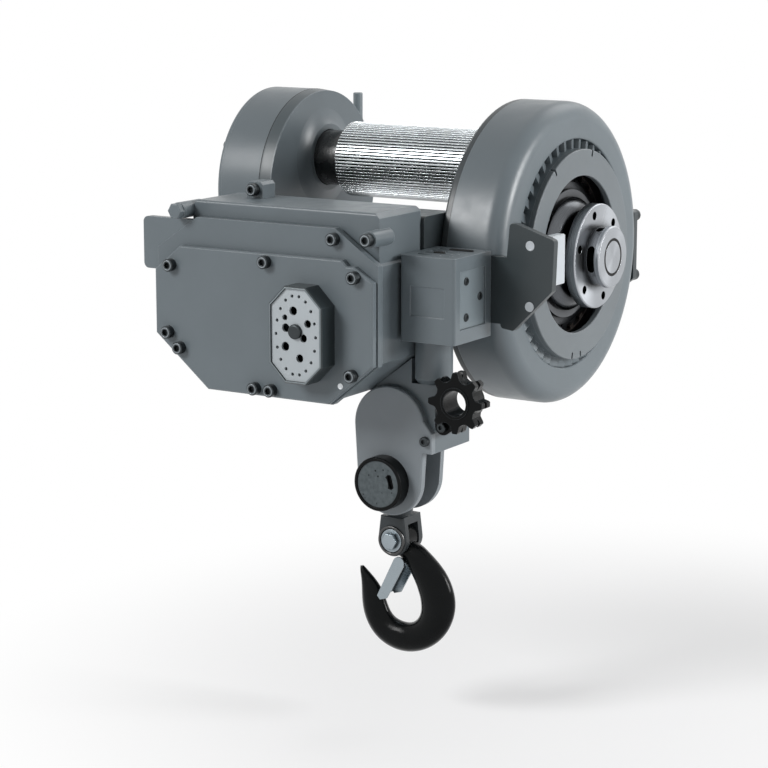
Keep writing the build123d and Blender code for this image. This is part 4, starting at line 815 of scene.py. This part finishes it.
for number, (x, z) in enumerate(EAR_HOLES, 1):
    plug = dished_pin(4.9 * MM, 6.0 * MM, 0.3 * MM, 0.35 * MM, (x * MM, EAR_FACE_Y, z * MM))
    settle(plug, f"ear_plug_{number}", "frame", block_white)
dowel = dished_pin(3.1 * MM, 3.3 * MM, 0.4 * MM, 0.15 * MM,
                   (DOWEL_AT[0] * MM, COVER_FACE_Y, DOWEL_AT[1] * MM))
settle(dowel, "cover_dowel", "frame", ground_steel)
print("plugs and dowel:", len(EAR_HOLES) + 1)

# %% [markdown]
# Two cable slots on top of the terminal box are lined with black grommets. A grommet is a flat
# block whose upright edges are bevelled until its ends are round, and whose top is inset and
# pushed down, so that a rim is left round the slot.

# %% Grommets on the terminal box
BOX_TOP = 23.0 * MM
GROMMET_RISE, GROMMET_LIP, GROMMET_DISH = 1.2 * MM, 0.8 * MM, 0.9 * MM
CABLE_SLOTS = ((-60.0, -184.0, 27.0, 6.0), (-71.0, -209.0, 12.0, 5.0))


def grommet(x, y, length, width):
    """A long round-ended block on the box's top, with a dished opening."""
    bpy.ops.object.select_all(action="DESELECT")
    bpy.ops.mesh.primitive_cube_add(size=1.0)
    piece = bpy.context.object
    piece.scale = (length, width, 2 * GROMMET_RISE)
    bpy.ops.object.transform_apply(location=True, rotation=True, scale=True)
    bpy.ops.object.mode_set(mode="EDIT")
    bpy.ops.mesh.select_mode(type="EDGE")
    bpy.ops.mesh.select_all(action="DESELECT")
    shape = bmesh.from_edit_mesh(piece.data)
    for edge in shape.edges:
        low, high = sorted(corner.co.z for corner in edge.verts)
        edge.select_set(high - low > GROMMET_RISE)
    bmesh.update_edit_mesh(piece.data)
    bpy.ops.mesh.bevel(offset=width * 0.48, segments=6, affect="EDGES")
    select_faces_up(piece)
    bpy.ops.mesh.inset(thickness=GROMMET_LIP, depth=0)
    bpy.ops.mesh.inset(thickness=0.2 * MM, depth=-GROMMET_DISH)
    bpy.ops.object.mode_set(mode="OBJECT")
    piece.location = (x, y, BOX_TOP)
    return piece


for number, sizes in enumerate(CABLE_SLOTS, 1):
    x, y, length, width = (size * MM for size in sizes)
    settle(grommet(x, y, length, width), f"box_grommet_{number}", "frame", gasket)
print("grommets:", len(CABLE_SLOTS))

# %% [markdown]
# The end housing is closed by its bell along a seam, and a thin dark line of sealant shows
# there. It is a flat ring that stands a tenth of a millimetre proud of the paint.

# %% Sealant line
SEAM_X = -360.0 * MM
END_R = 107.0 * MM
END_Z = 54.0 * MM
SEAM_HALF, SEAM_PROUD, SEAM_SUNK = 0.35 * MM, 0.1 * MM, 0.4 * MM

seam_in, seam_out = END_R - SEAM_SUNK, END_R + SEAM_PROUD
seam_section = [(seam_in, -SEAM_HALF), (seam_out, -SEAM_HALF),
                (seam_out, SEAM_HALF), (seam_in, SEAM_HALF)]
seam = grown_ring(seam_section, 144)
turned_to(seam, (SEAM_X, 0, END_Z), (1, 0, 0))
settle(seam, "housing_seam", "frame", gasket)
print("seam ring diameter", round(2 * END_R / MM), "mm")

# %% End
print("scene built")
